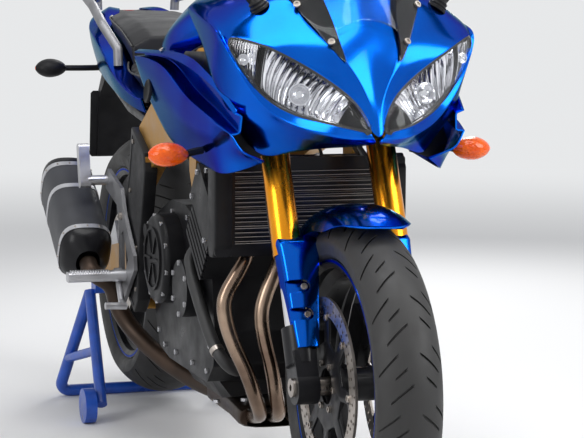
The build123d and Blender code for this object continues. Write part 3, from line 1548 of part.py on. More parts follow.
# Cowl stay: an arm from the steering head and the plate that carries nose, lamps and instruments
STAY_T = 13.0
STAY_Y = LAMP_BACK + RUN_FIT + STAY_T / 2
STAY_POST_X = 150.0  # posts that carry the nose cowl
with BuildPart() as stay_posts:
    with BuildSketch(level(950)):
        with Locations((STAY_POST_X, STAY_Y), (-STAY_POST_X, STAY_Y)):
            Circle(STAY_T / 2)
    extrude(amount=60.0)
with BuildPart() as cowl_stay:
    add(stay_posts.part & nose_form(PANEL_T + RUN_FIT, 30.0))
    with BuildSketch(side(-16.0)):
        with BuildLine():
            Polyline(
                (-470, 842), (-452, 886), (-560, 905), (-634, 905), (-634, 860), (-560, 858), close=True
            )
        make_face()
    extrude(amount=32.0)
    with BuildSketch(across(LAMP_BACK + RUN_FIT + STAY_T)):
        with Locations((0, 880)):
            RectangleRounded(300, 36, 8)
        for x in (-112, 112):
            with Locations((x, 900)):
                RectangleRounded(36, 130, 8)
        with Locations((0, 950)):
            RectangleRounded(318, 28, 8)
        with Locations((0, 915)):
            Rectangle(40, 80)
    extrude(amount=STAY_T)
    with BuildSketch(fork_plane(LOWER_CLAMP)):
        with Locations((0, FORK_OFFSET)):
            Circle(HEAD_R)
    extrude(amount=260.0, mode=Mode.SUBTRACT)
keep(cowl_stay.part, "cowl_stay")

with BuildPart() as instruments:
    with BuildSketch(Plane(origin=at(0, -588, 1010), x_dir=(1, 0, 0), z_dir=(0, 0.82, 0.57))):
        RectangleRounded(212, 104, 26)
    extrude(amount=-34.0)
    with BuildSketch(Plane(origin=at(0, -588, 1010), x_dir=(1, 0, 0), z_dir=(0, 0.82, 0.57))):
        with Locations((-52, 0)):
            Circle(39)
        with Locations((46, 0)):
            RectangleRounded(92, 66, 10)
    extrude(amount=-3.0, mode=Mode.SUBTRACT)
    with BuildSketch(level(962)):
        for x in (-70, 70):
            with Locations((x, -621)):
                Rectangle(20, 10)
    extrude(amount=38.0)
keep(instruments.part, "instruments")

# Mirrors on the nose's shoulders
with BuildPart() as mirrors:
    add(rod(at(170, -652, 972), at(240, -640, 1078), 9.0))
    add(rod(at(165, -653, 976), at(172, -650, 986), 19.0))
    with BuildSketch(across(-648)):
        with Locations(Location((300, 1122, 0), (0, 0, 8))):
            RectangleRounded(150, 92, 34)
    extrude(amount=-34.0)
    mirror(about=Plane.YZ)
seated_mirrors = mirrors.part - nose_outer
keep(seated_mirrors, "mirrors")

# Turn signals: x, y and z of the lens, then the stalk's root
TURN_SIGNALS = (
    ((300, -509, 702), (231.2, -500, 708)),
    ((232, 880, 796), (between(RAIL, 880)[1] + RAIL_R + RUN_FIT, 880, 796)),
)
with BuildPart() as turn_signals:
    for lamp, root in TURN_SIGNALS:
        with BuildSketch(Plane(origin=at(lamp[0] - 38, lamp[1], lamp[2]), z_dir=(1, 0, 0), x_dir=(0, 1, 0))):
            Ellipse(17, 14)
        with BuildSketch(Plane(origin=at(lamp[0] - 6, lamp[1], lamp[2]), z_dir=(1, 0, 0), x_dir=(0, 1, 0))):
            Ellipse(27, 23)
        with BuildSketch(Plane(origin=at(lamp[0] + 36, lamp[1], lamp[2]), z_dir=(1, 0, 0), x_dir=(0, 1, 0))):
            Ellipse(5, 4)
        loft()
        add(rod(at(*root), at(lamp[0] - 36, lamp[1], lamp[2]), 8.0))
    mirror(about=Plane.YZ)
keep(turn_signals.part, "turn_signals")

# Footrest plates, rests, pedals
HANGER = (
    (262, 505), (292, 560), (415, 592), (442, 572), (436, 546), (330, 520),
    (310, 480), (310, 320), (286, 300), (170, 395), (176, 425),
)
HANGER_IN = PLATE_OUT + 6.0
with BuildPart() as hangers:
    with BuildSketch(side(HANGER_IN)):
        with BuildLine():
            Polyline(*HANGER, close=True)
        make_face()
        with BuildLine():
            Polyline((225, 410), (270, 470), (288, 460), (285, 345), close=True)
        make_face(mode=Mode.SUBTRACT)
    extrude(amount=8.0)
    for y, z in ((285, 500), (278, 335)):
        with BuildSketch(side(PLATE_OUT)):
            with Locations((y, z)):
                Circle(10)
        extrude(amount=HANGER_IN - PLATE_OUT)
    mirror(about=Plane.YZ)
keep(hangers.part, "footrest_hangers")

with BuildPart() as footrests:
    with BuildSketch(side(HANGER_IN + 8)):
        with Locations((250, 374)):
            Circle(13)
    extrude(amount=28.0)
    with BuildSketch(side(HANGER_IN + 36)):
        with Locations((250, 374)):
            RectangleRounded(30, 22, 8)
    extrude(amount=100.0)
    with BuildSketch(side(HANGER_IN + 8)):
        with Locations((426, 566)):
            Circle(11)
    extrude(amount=44.0)
    with BuildSketch(side(HANGER_IN + 46)):
        with Locations(Location((436, 598, 0), (0, 0, 76))):
            RectangleRounded(100, 24, 9)
    extrude(amount=24.0)
    mirror(about=Plane.YZ)
with BuildPart() as pedals:
    add(rod(at(-HANGER_IN - 8, 284, 372), at(-HANGER_IN - 24, 284, 372), 14.0))
    add(rod(at(-HANGER_IN - 17, 284, 372), at(-HANGER_IN - 30, 190, 322), 7.0))
    add(rod(at(-HANGER_IN - 30, 194, 324), at(-HANGER_IN - 40, 124, 326), 7.0))
    add(rod(at(-HANGER_IN - 36, 124, 326), at(-HANGER_IN - 82, 122, 328), 7.5))
    add(rod(at(HANGER_IN + 8, 200, 402), at(HANGER_IN + 24, 200, 402), 12.0))
    add(rod(at(HANGER_IN + 17, 200, 402), at(HANGER_IN + 26, 96, 372), 6.5))
    add(rod(at(HANGER_IN + 20, 96, 372), at(HANGER_IN + 70, 94, 374), 8.0))
keep(together(footrests.part, pedals.part), "footrests_and_pedals")

with BuildPart() as side_stand:
    with BuildSketch(STAND_PLANE):
        Circle(18)
        with BuildLine():
            Polyline((0, -17), (STAND_LONG, -11), (STAND_LONG, 11), (0, 17), close=True)
        make_face()
    extrude(amount=STAND_T)
    with BuildSketch(Plane(
        origin=STAND_PLANE.from_local_coords(Vector(STAND_LONG, 0, STAND_T / 2)),
        x_dir=STAND_PLANE.y_dir, z_dir=STAND_FOLDED,
    )):
        RectangleRounded(58, 40, 14)
    extrude(amount=-8.0)
    with BuildSketch(STAND_PLANE.offset(-1.0)):
        Circle(STAND_PIN_R + AXLE_CLEAR)
    extrude(amount=STAND_T + 2.0, mode=Mode.SUBTRACT)
keep(side_stand.part, "side_stand")

# Paddock stand under the swingarm: bent tube frame, two small wheels and the cradles
TUBE_R = 14.0
CRADLE_T = 26.0
CRADLE = (690.0, ARM_LOW - RUN_FIT - CRADLE_T / 2 + 12.0)
REAR_BAR_Y = 828.0
FOOT_Y = 496.0
with BuildPart() as paddock_stand:
    for way in (-1, 1):
        add(
            pipe(
                [
                    at(way * 100, REAR_BAR_Y, TUBE_R), at(way * 226, REAR_BAR_Y, TUBE_R),
                    at(way * 176, CRADLE[0] + 12, CRADLE[1] - 26),
                ],
                TUBE_R, bend=24.0,
            )
        )
        add(rod(at(way * 176, CRADLE[0] + 12, CRADLE[1] - 24), at(way * 196, FOOT_Y, 40), TUBE_R - 1))
        add(rod(at(way * 186, FOOT_Y + 90, 152), at(way * 212, REAR_BAR_Y - 40, 100), TUBE_R - 3))
        with BuildSketch(side(way * 145 - 24)):
            with Locations((CRADLE[0] + 6, CRADLE[1] - 12)):
                RectangleRounded(46, CRADLE_T, 6)
        extrude(amount=48.0)
    with BuildSketch(side(-100.0)):
        with Locations((REAR_BAR_Y, TUBE_R)):
            Circle(TUBE_R)
    extrude(amount=200.0)
STAND_WHEEL_R = 40.0
with BuildPart() as stand_wheels:
    with BuildSketch(side(214.0)):
        with Locations((FOOT_Y, STAND_WHEEL_R)):
            Circle(STAND_WHEEL_R)
    extrude(amount=26.0)
    with BuildSketch(side(209.2)):
        with Locations((FOOT_Y, STAND_WHEEL_R)):
            Circle(9)
    extrude(amount=4.8)
    mirror(about=Plane.YZ)
keep(together(paddock_stand.part, stand_wheels.part), "paddock_stand")
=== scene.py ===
"""Looks of a standard motorcycle on its paddock stand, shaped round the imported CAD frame.

Tables are in millimetres in the machine's own frame: x to the rider's left, y back from the
middle of the wheelbase, z up from the floor.
"""
import json
import math
from contextlib import contextmanager

import bmesh
import bpy
from bpy.props import FloatProperty, FloatVectorProperty, IntProperty, PointerProperty
from bpy.types import Operator, Panel, PropertyGroup
from mathutils import Matrix, Vector


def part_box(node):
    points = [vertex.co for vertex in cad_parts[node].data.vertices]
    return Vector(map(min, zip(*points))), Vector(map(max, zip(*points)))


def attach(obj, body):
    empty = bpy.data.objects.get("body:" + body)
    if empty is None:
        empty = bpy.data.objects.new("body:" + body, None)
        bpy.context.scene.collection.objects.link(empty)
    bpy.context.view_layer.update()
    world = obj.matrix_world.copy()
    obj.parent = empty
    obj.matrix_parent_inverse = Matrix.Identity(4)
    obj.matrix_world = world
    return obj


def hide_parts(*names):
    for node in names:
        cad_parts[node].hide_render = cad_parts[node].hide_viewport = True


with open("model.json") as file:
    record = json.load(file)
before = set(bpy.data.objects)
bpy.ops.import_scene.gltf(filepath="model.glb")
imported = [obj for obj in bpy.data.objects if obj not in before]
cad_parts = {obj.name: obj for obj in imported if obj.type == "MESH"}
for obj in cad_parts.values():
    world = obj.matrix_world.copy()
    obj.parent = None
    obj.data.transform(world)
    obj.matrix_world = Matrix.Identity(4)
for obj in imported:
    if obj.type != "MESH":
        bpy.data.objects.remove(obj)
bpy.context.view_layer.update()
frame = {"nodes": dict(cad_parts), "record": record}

bl_info = {
    "name": "Standard Motorcycle",
    "version": (1, 0, 0),
    "blender": (4, 5, 0),
    "location": "View3D > Sidebar > Motorcycle",
    "description": "Shapes and paints a half-faired motorcycle on its paddock stand",
    "category": "Add Mesh",
}

METRE = 1000.0
MID_Y = -40.0
FRONT_AXLE = (0.0, -730.0, 300.0)
REAR_AXLE = (0.0, 730.0, 336.0)
CASTER = math.radians(25.0)


# Places
def mm(x, y, z):
    """A point of the machine in metres."""
    return Vector((x, y + MID_Y, z)) / METRE


def on_fork(x, back, along):
    """A point by its distance behind the fork legs' plane and its height along them from the axle."""
    y = FRONT_AXLE[1] + back * math.cos(CASTER) + along * math.sin(CASTER)
    z = FRONT_AXLE[2] - back * math.sin(CASTER) + along * math.cos(CASTER)
    return mm(x, y, z)


def on_wheel(axle, x, radius, degrees):
    """A point of a wheel: degrees are turned up from straight ahead."""
    turn = math.radians(degrees)
    return mm(axle[0] + x, axle[1] - radius * math.cos(turn), axle[2] + radius * math.sin(turn))


# Hands: picking, shaping and finishing a mesh
def alone(piece):
    bpy.ops.object.select_all(action="DESELECT")
    piece.select_set(True)
    bpy.context.view_layer.objects.active = piece


@contextmanager
def editing(piece, kind="VERT", whole=False):
    """Opens a piece in edit mode with nothing selected or the whole piece, and closes it again."""
    alone(piece)
    bpy.ops.object.mode_set(mode="EDIT")
    bpy.ops.mesh.select_mode(type=kind)
    bpy.ops.mesh.select_all(action="SELECT" if whole else "DESELECT")
    mesh = bmesh.from_edit_mesh(piece.data)
    for kept in (mesh.verts, mesh.edges, mesh.faces):
        kept.ensure_lookup_table()
    try:
        yield mesh
    finally:
        bmesh.update_edit_mesh(piece.data)
        bpy.ops.object.mode_set(mode="OBJECT")


def pick(mesh, elements, test):
    """Selects what passes the test and returns how many there are."""
    found = 0
    for element in elements:
        if test(element):
            element.select_set(True)
            found += 1
    mesh.select_flush_mode()
    return found


def named(name):
    """The object just added, under its own name, with nothing else selected."""
    piece = bpy.context.active_object
    piece.name = name
    piece.data.name = name
    alone(piece)
    return piece


def apply(piece, kind, **values):
    """Adds a modifier and applies it at once."""
    alone(piece)
    modifier = piece.modifiers.new(kind.lower(), kind)
    for key, value in values.items():
        setattr(modifier, key, value)
    bpy.ops.object.modifier_apply(modifier=modifier.name)


def smooth_out(piece, level, corners=False):
    """Subdivides a piece; corners keeps the corners of an open sheet sharp."""
    apply(piece, "SUBSURF", levels=level, render_levels=level,
          boundary_smooth="PRESERVE_CORNERS" if corners else "ALL")


def round_edges(piece, width, segments=2):
    apply(piece, "BEVEL", width=width / METRE, segments=segments, limit_method="ANGLE",
          angle_limit=math.radians(32.0), miter_outer="MITER_ARC", harden_normals=False)


def wall(piece, thickness):
    """Gives an open sheet its wall, inwards from its outer face."""
    apply(piece, "SOLIDIFY", thickness=thickness / METRE, offset=-1.0)


def two_sided(piece):
    """Adds the same shape on the machine's other side."""
    apply(piece, "MIRROR", use_axis=(True, False, False), use_mirror_merge=True, merge_threshold=0.0004)


def face_away(piece, inner):
    """Turns an open sheet's faces away from an inner point."""
    total = sum((face.center - inner).dot(face.normal) * face.area for face in piece.data.polygons)
    if total < 0.0:
        with editing(piece, whole=True):
            bpy.ops.mesh.flip_normals()


def mend(piece, distance=0.02):
    """Merges doubles and turns a closed shape's faces outwards."""
    with editing(piece, whole=True):
        bpy.ops.mesh.remove_doubles(threshold=distance / METRE)
        bpy.ops.mesh.normals_make_consistent(inside=False)


def soften(piece, angle):
    alone(piece)
    bpy.ops.object.shade_smooth_by_angle(angle=math.radians(angle))


def settle(piece):
    """Puts a piece's place, turn and scale into its mesh."""
    alone(piece)
    bpy.ops.object.transform_apply(location=True, rotation=True, scale=True)


def join(name, pieces):
    """Joins pieces into one object of that name."""
    bpy.ops.object.select_all(action="DESELECT")
    for piece in pieces:
        piece.select_set(True)
    bpy.context.view_layer.objects.active = pieces[0]
    if len(pieces) > 1:
        bpy.ops.object.join()
    return named(name)


def cut(piece, tool):
    """Cuts one closed shape with another and throws the tool away."""
    apply(piece, "BOOLEAN", operation="DIFFERENCE", object=tool, solver="EXACT")
    bpy.data.objects.remove(tool)


def sheet_of(name, points, ridges=None, ribs=None):
    """A sheet through rows of points. Ridges are creased rows and ribs creased columns, each with its sharpness."""
    rows, columns = len(points), len(points[0])
    bpy.ops.mesh.primitive_grid_add(x_subdivisions=columns - 1, y_subdivisions=rows - 1)
    piece = named(name)
    flat = [point for row in points for point in row]
    with editing(piece) as mesh:
        for vertex, point in zip(mesh.verts, flat):
            vertex.co = point
        crease = mesh.edges.layers.float.get("crease_edge") or mesh.edges.layers.float.new("crease_edge")
        for edge in mesh.edges:
            first, second = sorted(vertex.index for vertex in edge.verts)
            if second - first == 1:
                edge[crease] = (ridges or {}).get(first // columns, 0.0)
            else:
                edge[crease] = (ribs or {}).get(first % columns, 0.0)
    return piece


def lathe(name, profile, centre, axis, steps=64):
    """Spins a profile of (along the axis, radius) pairs about an axis through a centre, all in mm."""
    axis = Vector(axis).normalized()
    out = axis.orthogonal().normalized()
    start = Vector(centre)
    bpy.ops.mesh.primitive_grid_add(x_subdivisions=len(profile) - 1, y_subdivisions=1)
    piece = named(name)
    with editing(piece) as mesh:
        pick(mesh, mesh.verts, lambda v: v.index >= len(profile))
        bpy.ops.mesh.delete(type="VERT")
        mesh = bmesh.from_edit_mesh(piece.data)
        mesh.verts.ensure_lookup_table()
        for vertex, (along, radius) in zip(mesh.verts, profile):
            place = start + axis * along + out * radius
            vertex.co = mm(*place)
        bpy.ops.mesh.select_all(action="SELECT")
        bpy.ops.mesh.spin(steps=steps, angle=math.radians(360.0), center=mm(*start), axis=axis)
    mend(piece)
    return piece


def slab(name, outline, low, high, place):
    """A plate with an outline of pairs between two levels; place puts (a, b, level) in the machine."""
    bpy.ops.mesh.primitive_circle_add(vertices=len(outline), fill_type="NGON")
    piece = named(name)
    with editing(piece, "FACE") as mesh:
        for vertex, (a, b) in zip(mesh.verts, outline):
            vertex.co = place(a, b, low)
        bpy.ops.mesh.select_all(action="SELECT")
        bpy.ops.mesh.extrude_region_move()
        mesh = bmesh.from_edit_mesh(piece.data)
        step = place(*outline[0], high) - place(*outline[0], low)
        for vertex in mesh.verts:
            if vertex.select:
                vertex.co += step
        bpy.ops.mesh.select_all(action="SELECT")
        bpy.ops.mesh.normals_make_consistent(inside=False)
    return piece


def bore(centre, radius, length):
    """A round tool along x for cutting, from the middle of its end in mm."""
    bpy.ops.mesh.primitive_cylinder_add(
        vertices=48, radius=radius / METRE, depth=length / METRE,
        location=mm(*centre) + Vector((length / (2.0 * METRE), 0.0, 0.0)),
        rotation=Vector((1.0, 0.0, 0.0)).to_track_quat("Z", "Y").to_euler(),
    )
    piece = named("bore")
    settle(piece)
    return piece


def tube(name, points, radius, sides=12, closed=False):
    """A round tube along a smooth line of points in metres."""
    line = bpy.data.curves.new(name, "CURVE")
    line.dimensions = "3D"
    spline = line.splines.new("NURBS")
    spline.points.add(len(points) - 1)
    for spot, point in zip(spline.points, points):
        spot.co = (*point, 1.0)
    spline.order_u = 3
    spline.use_endpoint_u = not closed
    spline.use_cyclic_u = closed
    line.bevel_depth = radius / METRE
    line.bevel_resolution = max(sides // 4 - 1, 1)
    line.use_fill_caps = True
    line.resolution_u = 10
    piece = bpy.data.objects.new(name, line)
    bpy.context.scene.collection.objects.link(piece)
    alone(piece)
    bpy.ops.object.convert(target="MESH")
    return named(name)


def bolt(head, high, kind="socket"):
    """One fastener standing on the floor at the origin, to be copied: a cap with a hexagon socket, or a flanged nut."""
    sides = 12 if kind == "socket" else 6
    bpy.ops.mesh.primitive_cylinder_add(vertices=sides, radius=head / METRE, depth=high / METRE,
                                        location=(0.0, 0.0, high / (2.0 * METRE)))
    piece = named("bolt")
    settle(piece)
    with editing(piece, "FACE") as mesh:
        pick(mesh, mesh.faces, lambda f: f.normal.z > 0.9)
        bpy.ops.mesh.inset(thickness=head * 0.12 / METRE, depth=head * 0.08 / METRE)
        bpy.ops.mesh.inset(thickness=head * 0.33 / METRE)
        if kind == "socket":
            bpy.ops.mesh.extrude_region_move(
                TRANSFORM_OT_translate={"value": (0.0, 0.0, -high * 0.55 / METRE)}
            )
    return piece


def set_down(name, template, places):
    """Copies a template to each (point in metres, way out) place, each copy with its own mesh, and joins them."""
    copies = []
    for spot, way in places:
        copy = bpy.data.objects.new(name, template.data.copy())
        bpy.context.scene.collection.objects.link(copy)
        turn = Vector(way).normalized().to_track_quat("Z", "Y").to_matrix().to_4x4()
        copy.data.transform(Matrix.Translation(spot) @ turn)
        copies.append(copy)
    bpy.data.objects.remove(template)
    piece = join(name, copies)
    soften(piece, 30.0)
    return piece


def both_sides(x, spots):
    """Places at one distance from the middle on both sides, each facing out."""
    return [(mm(way * x, y, z), (way, 0, 0)) for way in (-1, 1) for y, z in spots]


def squared(turn, power):
    """A point of a rounded square of half width one, by its turn."""
    c, s = math.cos(turn), math.sin(turn)
    size = (abs(c) ** power + abs(s) ** power) ** (-1.0 / power)
    return c * size, s * size


def parted(piece, name):
    """What a separation has just taken out of a piece, under its own name."""
    part = next(thing for thing in bpy.context.selected_objects if thing != piece)
    part.name = part.data.name = name
    return part


def dress(piece, finish, *replaced, body="chassis", slot=None, angle=None):
    """Gives a finished piece its shading, material and body, and hides the CAD nodes that it stands for; its slot is
    not used.
    """
    if angle:
        soften(piece, angle)
    piece.data.materials.clear()
    piece.data.materials.append(FINISH[finish])
    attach(piece, body)
    if replaced:
        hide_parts(*replaced)
    slot or finish
    return piece


# Finishes
FINISH = {}
BACKDROP = (0.80, 0.81, 0.82, 1.0)
FINISHES = {  # slot: material, colour, its shade, roughness and its spread, cloud scale, grain's scale, depth, height
    "stand_blue": ("stand_powder_coat", (0.01, 0.09, 0.52), (0.006, 0.045, 0.28), 0.38, 0.12, 25, 500, 0.25, 0.15,
                   dict(coat_weight=0.3, coat_roughness=0.15)),
    "black_paint": ("satin_black_paint", (0.010, 0.010, 0.012), (0.004, 0.004, 0.005), 0.36, 0.1, 30, 900, 0.12, 0.1,
                    dict(coat_weight=0.1, coat_roughness=0.15, specular_ior_level=0.15)),
    "gold_anodised": ("gold_anodised_tube", (0.88, 0.36, 0.02), (0.74, 0.26, 0.012), 0.24, 0.05, 30, 1600, 0.08, 0.06,
                      dict(metallic=1.0, stretch=(1.0, 1.0, 0.12))),
    "gold_frame": ("gold_tan_casting", (0.46, 0.25, 0.05), (0.30, 0.15, 0.03), 0.42, 0.1, 22, 700, 0.3, 0.25,
                   dict(metallic=0.75)),
    "chrome": ("hard_chrome", (0.86, 0.86, 0.88), (0.74, 0.74, 0.77), 0.07, 0.03, 60, 1200, 0.02, 0.03,
               dict(metallic=1.0)),
    "steel": ("turned_steel", (0.50, 0.46, 0.42), (0.30, 0.26, 0.23), 0.34, 0.1, 18, 1500, 0.18, 0.08,
              dict(metallic=1.0, stretch=(0.2, 1.0, 1.0))),
    "header_steel": ("heat_tinted_steel", (0.42, 0.31, 0.23), (0.10, 0.062, 0.045), 0.26, 0.1, 9, 800, 0.15, 0.1,
                     dict(metallic=1.0, contrast=0.22)),
    "alloy": ("cast_alloy", (0.60, 0.60, 0.62), (0.42, 0.42, 0.44), 0.36, 0.1, 30, 900, 0.25, 0.15,
              dict(metallic=0.95)),
    "dark_alloy": ("black_engine_casting", (0.010, 0.010, 0.011), (0.004, 0.004, 0.005), 0.38, 0.12, 16, 520, 0.45,
                   0.35, dict(specular_ior_level=0.14)),
    "silencer": ("matt_silencer_steel", (0.060, 0.062, 0.070), (0.035, 0.036, 0.041), 0.5, 0.08, 14, 900, 0.2, 0.12,
                 dict(metallic=0.5)),
    "tyre": ("tyre_tread_rubber", (0.022, 0.021, 0.021), (0.011, 0.011, 0.011), 0.62, 0.12, 26, 420, 0.35, 0.3,
             dict(specular_ior_level=0.45)),
    "rubber": ("moulded_rubber", (0.022, 0.022, 0.023), (0.012, 0.012, 0.012), 0.55, 0.1, 40, 800, 0.2, 0.15, {}),
    "seat": ("black_seat_cover", (0.013, 0.013, 0.015), (0.007, 0.007, 0.008), 0.46, 0.08, 20, 520, 0.35, 0.35,
             dict(grain="cells", specular_ior_level=0.22)),
    "black_plastic": ("grained_black_plastic", (0.012, 0.012, 0.013), (0.006, 0.006, 0.007), 0.45, 0.08, 35, 1100,
                      0.25, 0.15, dict(grain="cells", specular_ior_level=0.16)),
    "clear": ("clear_lens", (0.96, 0.97, 0.98), (0.93, 0.94, 0.96), 0.02, 0.01, 10, 0, 0, 0,
              dict(transmission_weight=1.0, ior=1.2)),
    "reflector": ("lamp_reflector", (0.82, 0.82, 0.84), (0.66, 0.66, 0.68), 0.08, 0.04, 50, 0, 0, 0,
                  dict(metallic=1.0)),
    "amber": ("amber_lens", (0.95, 0.15, 0.002), (0.75, 0.06, 0.001), 0.07, 0.03, 60, 190, 0.6, 1.4,
              dict(grain="cells", transmission_weight=0.1, ior=1.4, coat_weight=0.35, coat_roughness=0.03,
                   specular_ior_level=0.3)),
    "red_lens": ("red_lens", (0.55, 0.012, 0.010), (0.36, 0.006, 0.006), 0.08, 0.03, 60, 220, 0.4, 0.8,
                 dict(grain="cells", transmission_weight=0.3, ior=1.45, coat_weight=0.8, coat_roughness=0.03)),
    "cast_grey": ("grey_cast_alloy", (0.26, 0.26, 0.27), (0.17, 0.17, 0.18), 0.5, 0.08, 26, 900, 0.3, 0.15,
                  dict(metallic=0.85)),
    # link_steel: the near-black brown is painted shade for the link pipe and collector under the engine, not the
    # steel's own colour
    "link_steel": ("soot_dark_steel", (0.065, 0.042, 0.030), (0.02, 0.015, 0.012), 0.45, 0.1, 12, 800, 0.3, 0.15,
                   dict(metallic=0.8)),
    "core": ("radiator_core", (0.44, 0.40, 0.36), (0.26, 0.24, 0.22), 0.5, 0.1, 60, 900, 0.3, 0.2,
             dict(metallic=0.3)),
    "dial": ("dial_face", (0.70, 0.70, 0.66), (0.62, 0.62, 0.58), 0.5, 0.04, 30, 900, 0.05, 0.05, {}),
    "display": ("grey_display", (0.16, 0.18, 0.15), (0.12, 0.135, 0.115), 0.15, 0.04, 18, 900, 0.03, 0.05,
                dict(coat_weight=0.8, coat_roughness=0.03)),
    "plate": ("blank_plate", (0.72, 0.72, 0.70), (0.66, 0.66, 0.64), 0.4, 0.06, 30, 500, 0.08, 0.1, {}),
}
OTHER_FINISH = {"grab_rails": "cast_grey", "footrest_hangers": "cast_grey"}  # CAD nodes with a look of their own


def set_inputs(node, values):
    """Sets a node's inputs by their names in lower case."""
    for key, value in values.items():
        node.inputs[key.replace("_", " ").title().replace("Ior", "IOR")].default_value = value
    return node


def new_node(tree, kind, sources=(), **values):
    """A node with its first inputs linked to their sources and some inputs set."""
    node = set_inputs(tree.nodes.new(f"ShaderNode{kind}"), values)
    for socket, source in zip(node.inputs, sources):
        tree.links.new(source, socket)
    return node


def new_material(name):
    """A material with its node tree, its shader and the coordinates of the object that wears it."""
    material = bpy.data.materials.new(name)
    material.use_nodes = True
    tree = material.node_tree
    return material, tree, tree.nodes["Principled BSDF"], new_node(tree, "TexCoord").outputs["Object"]


def shift_colour(tree, shader, cloud, shade, colour, contrast=0.5):
    """Blends a shader's colour between a shade and the full colour by a cloud."""
    ramp = new_node(tree, "ValToRGB", [cloud])
    for stop, place, tone in zip(ramp.color_ramp.elements, (0.5 - contrast, 0.5 + contrast), (shade, colour)):
        stop.position = place
        stop.color = (*tone, 1.0)
    tree.links.new(ramp.outputs["Color"], shader.inputs["Base Color"])


def surface(name, colour, shade, rough, spread, scale, grain_scale, grain_depth, grain_height, grain="noise",
            stretch=(1, 1, 1), contrast=0.3, **values):
    """A finish with broad shifts of colour and gloss, and a fine grain in relief."""
    material, tree, shader, place = new_material(name)
    set_inputs(shader, values)
    mapping = new_node(tree, "Mapping", [place], scale=stretch)
    cloud = new_node(tree, "TexNoise", mapping.outputs[:1], scale=scale, detail=5.0).outputs["Fac"]
    shift_colour(tree, shader, cloud, shade, colour, contrast)
    gloss = new_node(tree, "MapRange", [cloud], from_min=0.3, from_max=0.7, to_min=max(rough - spread, 0.0),
                     to_max=min(rough + spread, 1.0))
    tree.links.new(gloss.outputs["Result"], shader.inputs["Roughness"])
    if grain_depth:
        kind, result = ("TexVoronoi", "Distance") if grain == "cells" else ("TexNoise", "Fac")
        fine = new_node(tree, kind, mapping.outputs[:1], scale=grain_scale)
        relief = new_node(tree, "Bump", strength=grain_depth, distance=grain_height / METRE)
        tree.links.new(fine.outputs[result], relief.inputs["Height"])
        tree.links.new(relief.outputs["Normal"], shader.inputs["Normal"])
    return material


def mix_finishes(colours):
    """Makes every finish of the machine, by the name of its slot in the record."""
    blue = tuple(colours.paint)
    deep = (blue[0] * 0.5, blue[1] * 0.5, blue[2] * 0.68)
    FINISH["blue_paint"] = surface("blue_metallic_paint", blue, deep, 0.19, 0.03, 6, 2600, 0.10, 0.05, metallic=1.0,
                                   coat_weight=0.12, coat_roughness=0.02, specular_tint=(0.0, 0.26, 0.30, 1.0))
    for slot, (*look, more) in FINISHES.items():
        FINISH[slot] = surface(*look, **more)


class PaintWork(PropertyGroup):
    paint: FloatVectorProperty(
        name="Paint", description="Colour of the metallic body paint", subtype="COLOR", size=3, min=0.0, max=1.0,
        default=(0.0005, 0.135, 0.68),
    )
    floor: FloatVectorProperty(
        name="Floor", description="Colour of the studio floor", subtype="COLOR", size=3, min=0.0, max=1.0,
        default=(0.80, 0.80, 0.80),
    )


class PanelSizes(PropertyGroup):
    wall: FloatProperty(
        name="Panel Wall", description="Thickness of the moulded panels", default=0.0034, min=0.001, max=0.006,
        unit="LENGTH",
    )
    smoothness: IntProperty(
        name="Smoothness", description="Subdivision of the painted panels", default=3, min=1, max=4,
    )
    seal: FloatProperty(
        name="Lamp Seal", description="Width of the black seal round each lamp", default=0.0045, min=0.001,
        max=0.01, unit="LENGTH",
    )


class CameraSizes(PropertyGroup):
    lens: FloatProperty(
        name="Focal Length", description="Focal length of the camera in mm on a 36 mm sensor", default=139.55,
        min=10.0, max=400.0,
    )
    key_power: FloatProperty(
        name="Key Light", description="Power of the large softbox in watts", default=95.0, min=0.0, max=2000.0,
    )
    sky: FloatProperty(
        name="Sky", description="Strength of the light that comes from all round", default=0.36, min=0.0, max=1.0,
    )


CAMERA_PLACE = (-1336.262, -4514.58, 1053.823)
CAMERA_TURN = (-17.679, 6.477, 0.331)  # yaw, pitch and roll that the photograph's fit gave, in degrees
SOFTBOX_AIM = (0.0, -500.0, 650.0)
SOFTBOXES = (  # name, place, width and height in metres, share of the key light's power
    ("softbox_left", (2300.0, -2600.0, 2500.0), 1.9, 2.4, 1.0),
    ("softbox_top", (-300.0, -900.0, 3300.0), 2.6, 1.6, 0.75),
    ("softbox_right", (-3200.0, -1600.0, 1700.0), 1.2, 2.2, 0.55),
    ("strip_back", (1400.0, 2600.0, 2300.0), 0.6, 2.6, 0.5),
)
FLOOR_SIZE = 60.0
FADE_FROM, FADE_TO = 2.2, 7.0  # metres from the middle where the floor fades into the backdrop


def turn_of_camera():
    """How the camera is turned, as a matrix."""
    yaw, pitch, roll = (math.radians(v) for v in CAMERA_TURN)
    ahead = Vector((-math.sin(yaw) * math.cos(pitch), math.cos(yaw) * math.cos(pitch), -math.sin(pitch)))
    right = ahead.cross(Vector((0.0, 0.0, 1.0))).normalized()
    up = right.cross(ahead)
    turned_right = right * math.cos(roll) + up * math.sin(roll)
    turned_up = up * math.cos(roll) - right * math.sin(roll)
    return Matrix((turned_right, turned_up, -ahead)).transposed()


def of_math(tree, operation, first, second):
    """Two values put through a math node."""
    node = new_node(tree, "Math", [first, second])
    node.operation = operation
    return node.outputs["Value"]


def seen_by_eye(tree):
    """Is one for camera, glossy and transmission rays, which see the pale background."""
    path = new_node(tree, "LightPath")
    seen = path.outputs["Is Camera Ray"]
    for ray in ("Is Glossy Ray", "Is Transmission Ray"):
        seen = of_math(tree, "MAXIMUM", seen, path.outputs[ray])
    return seen


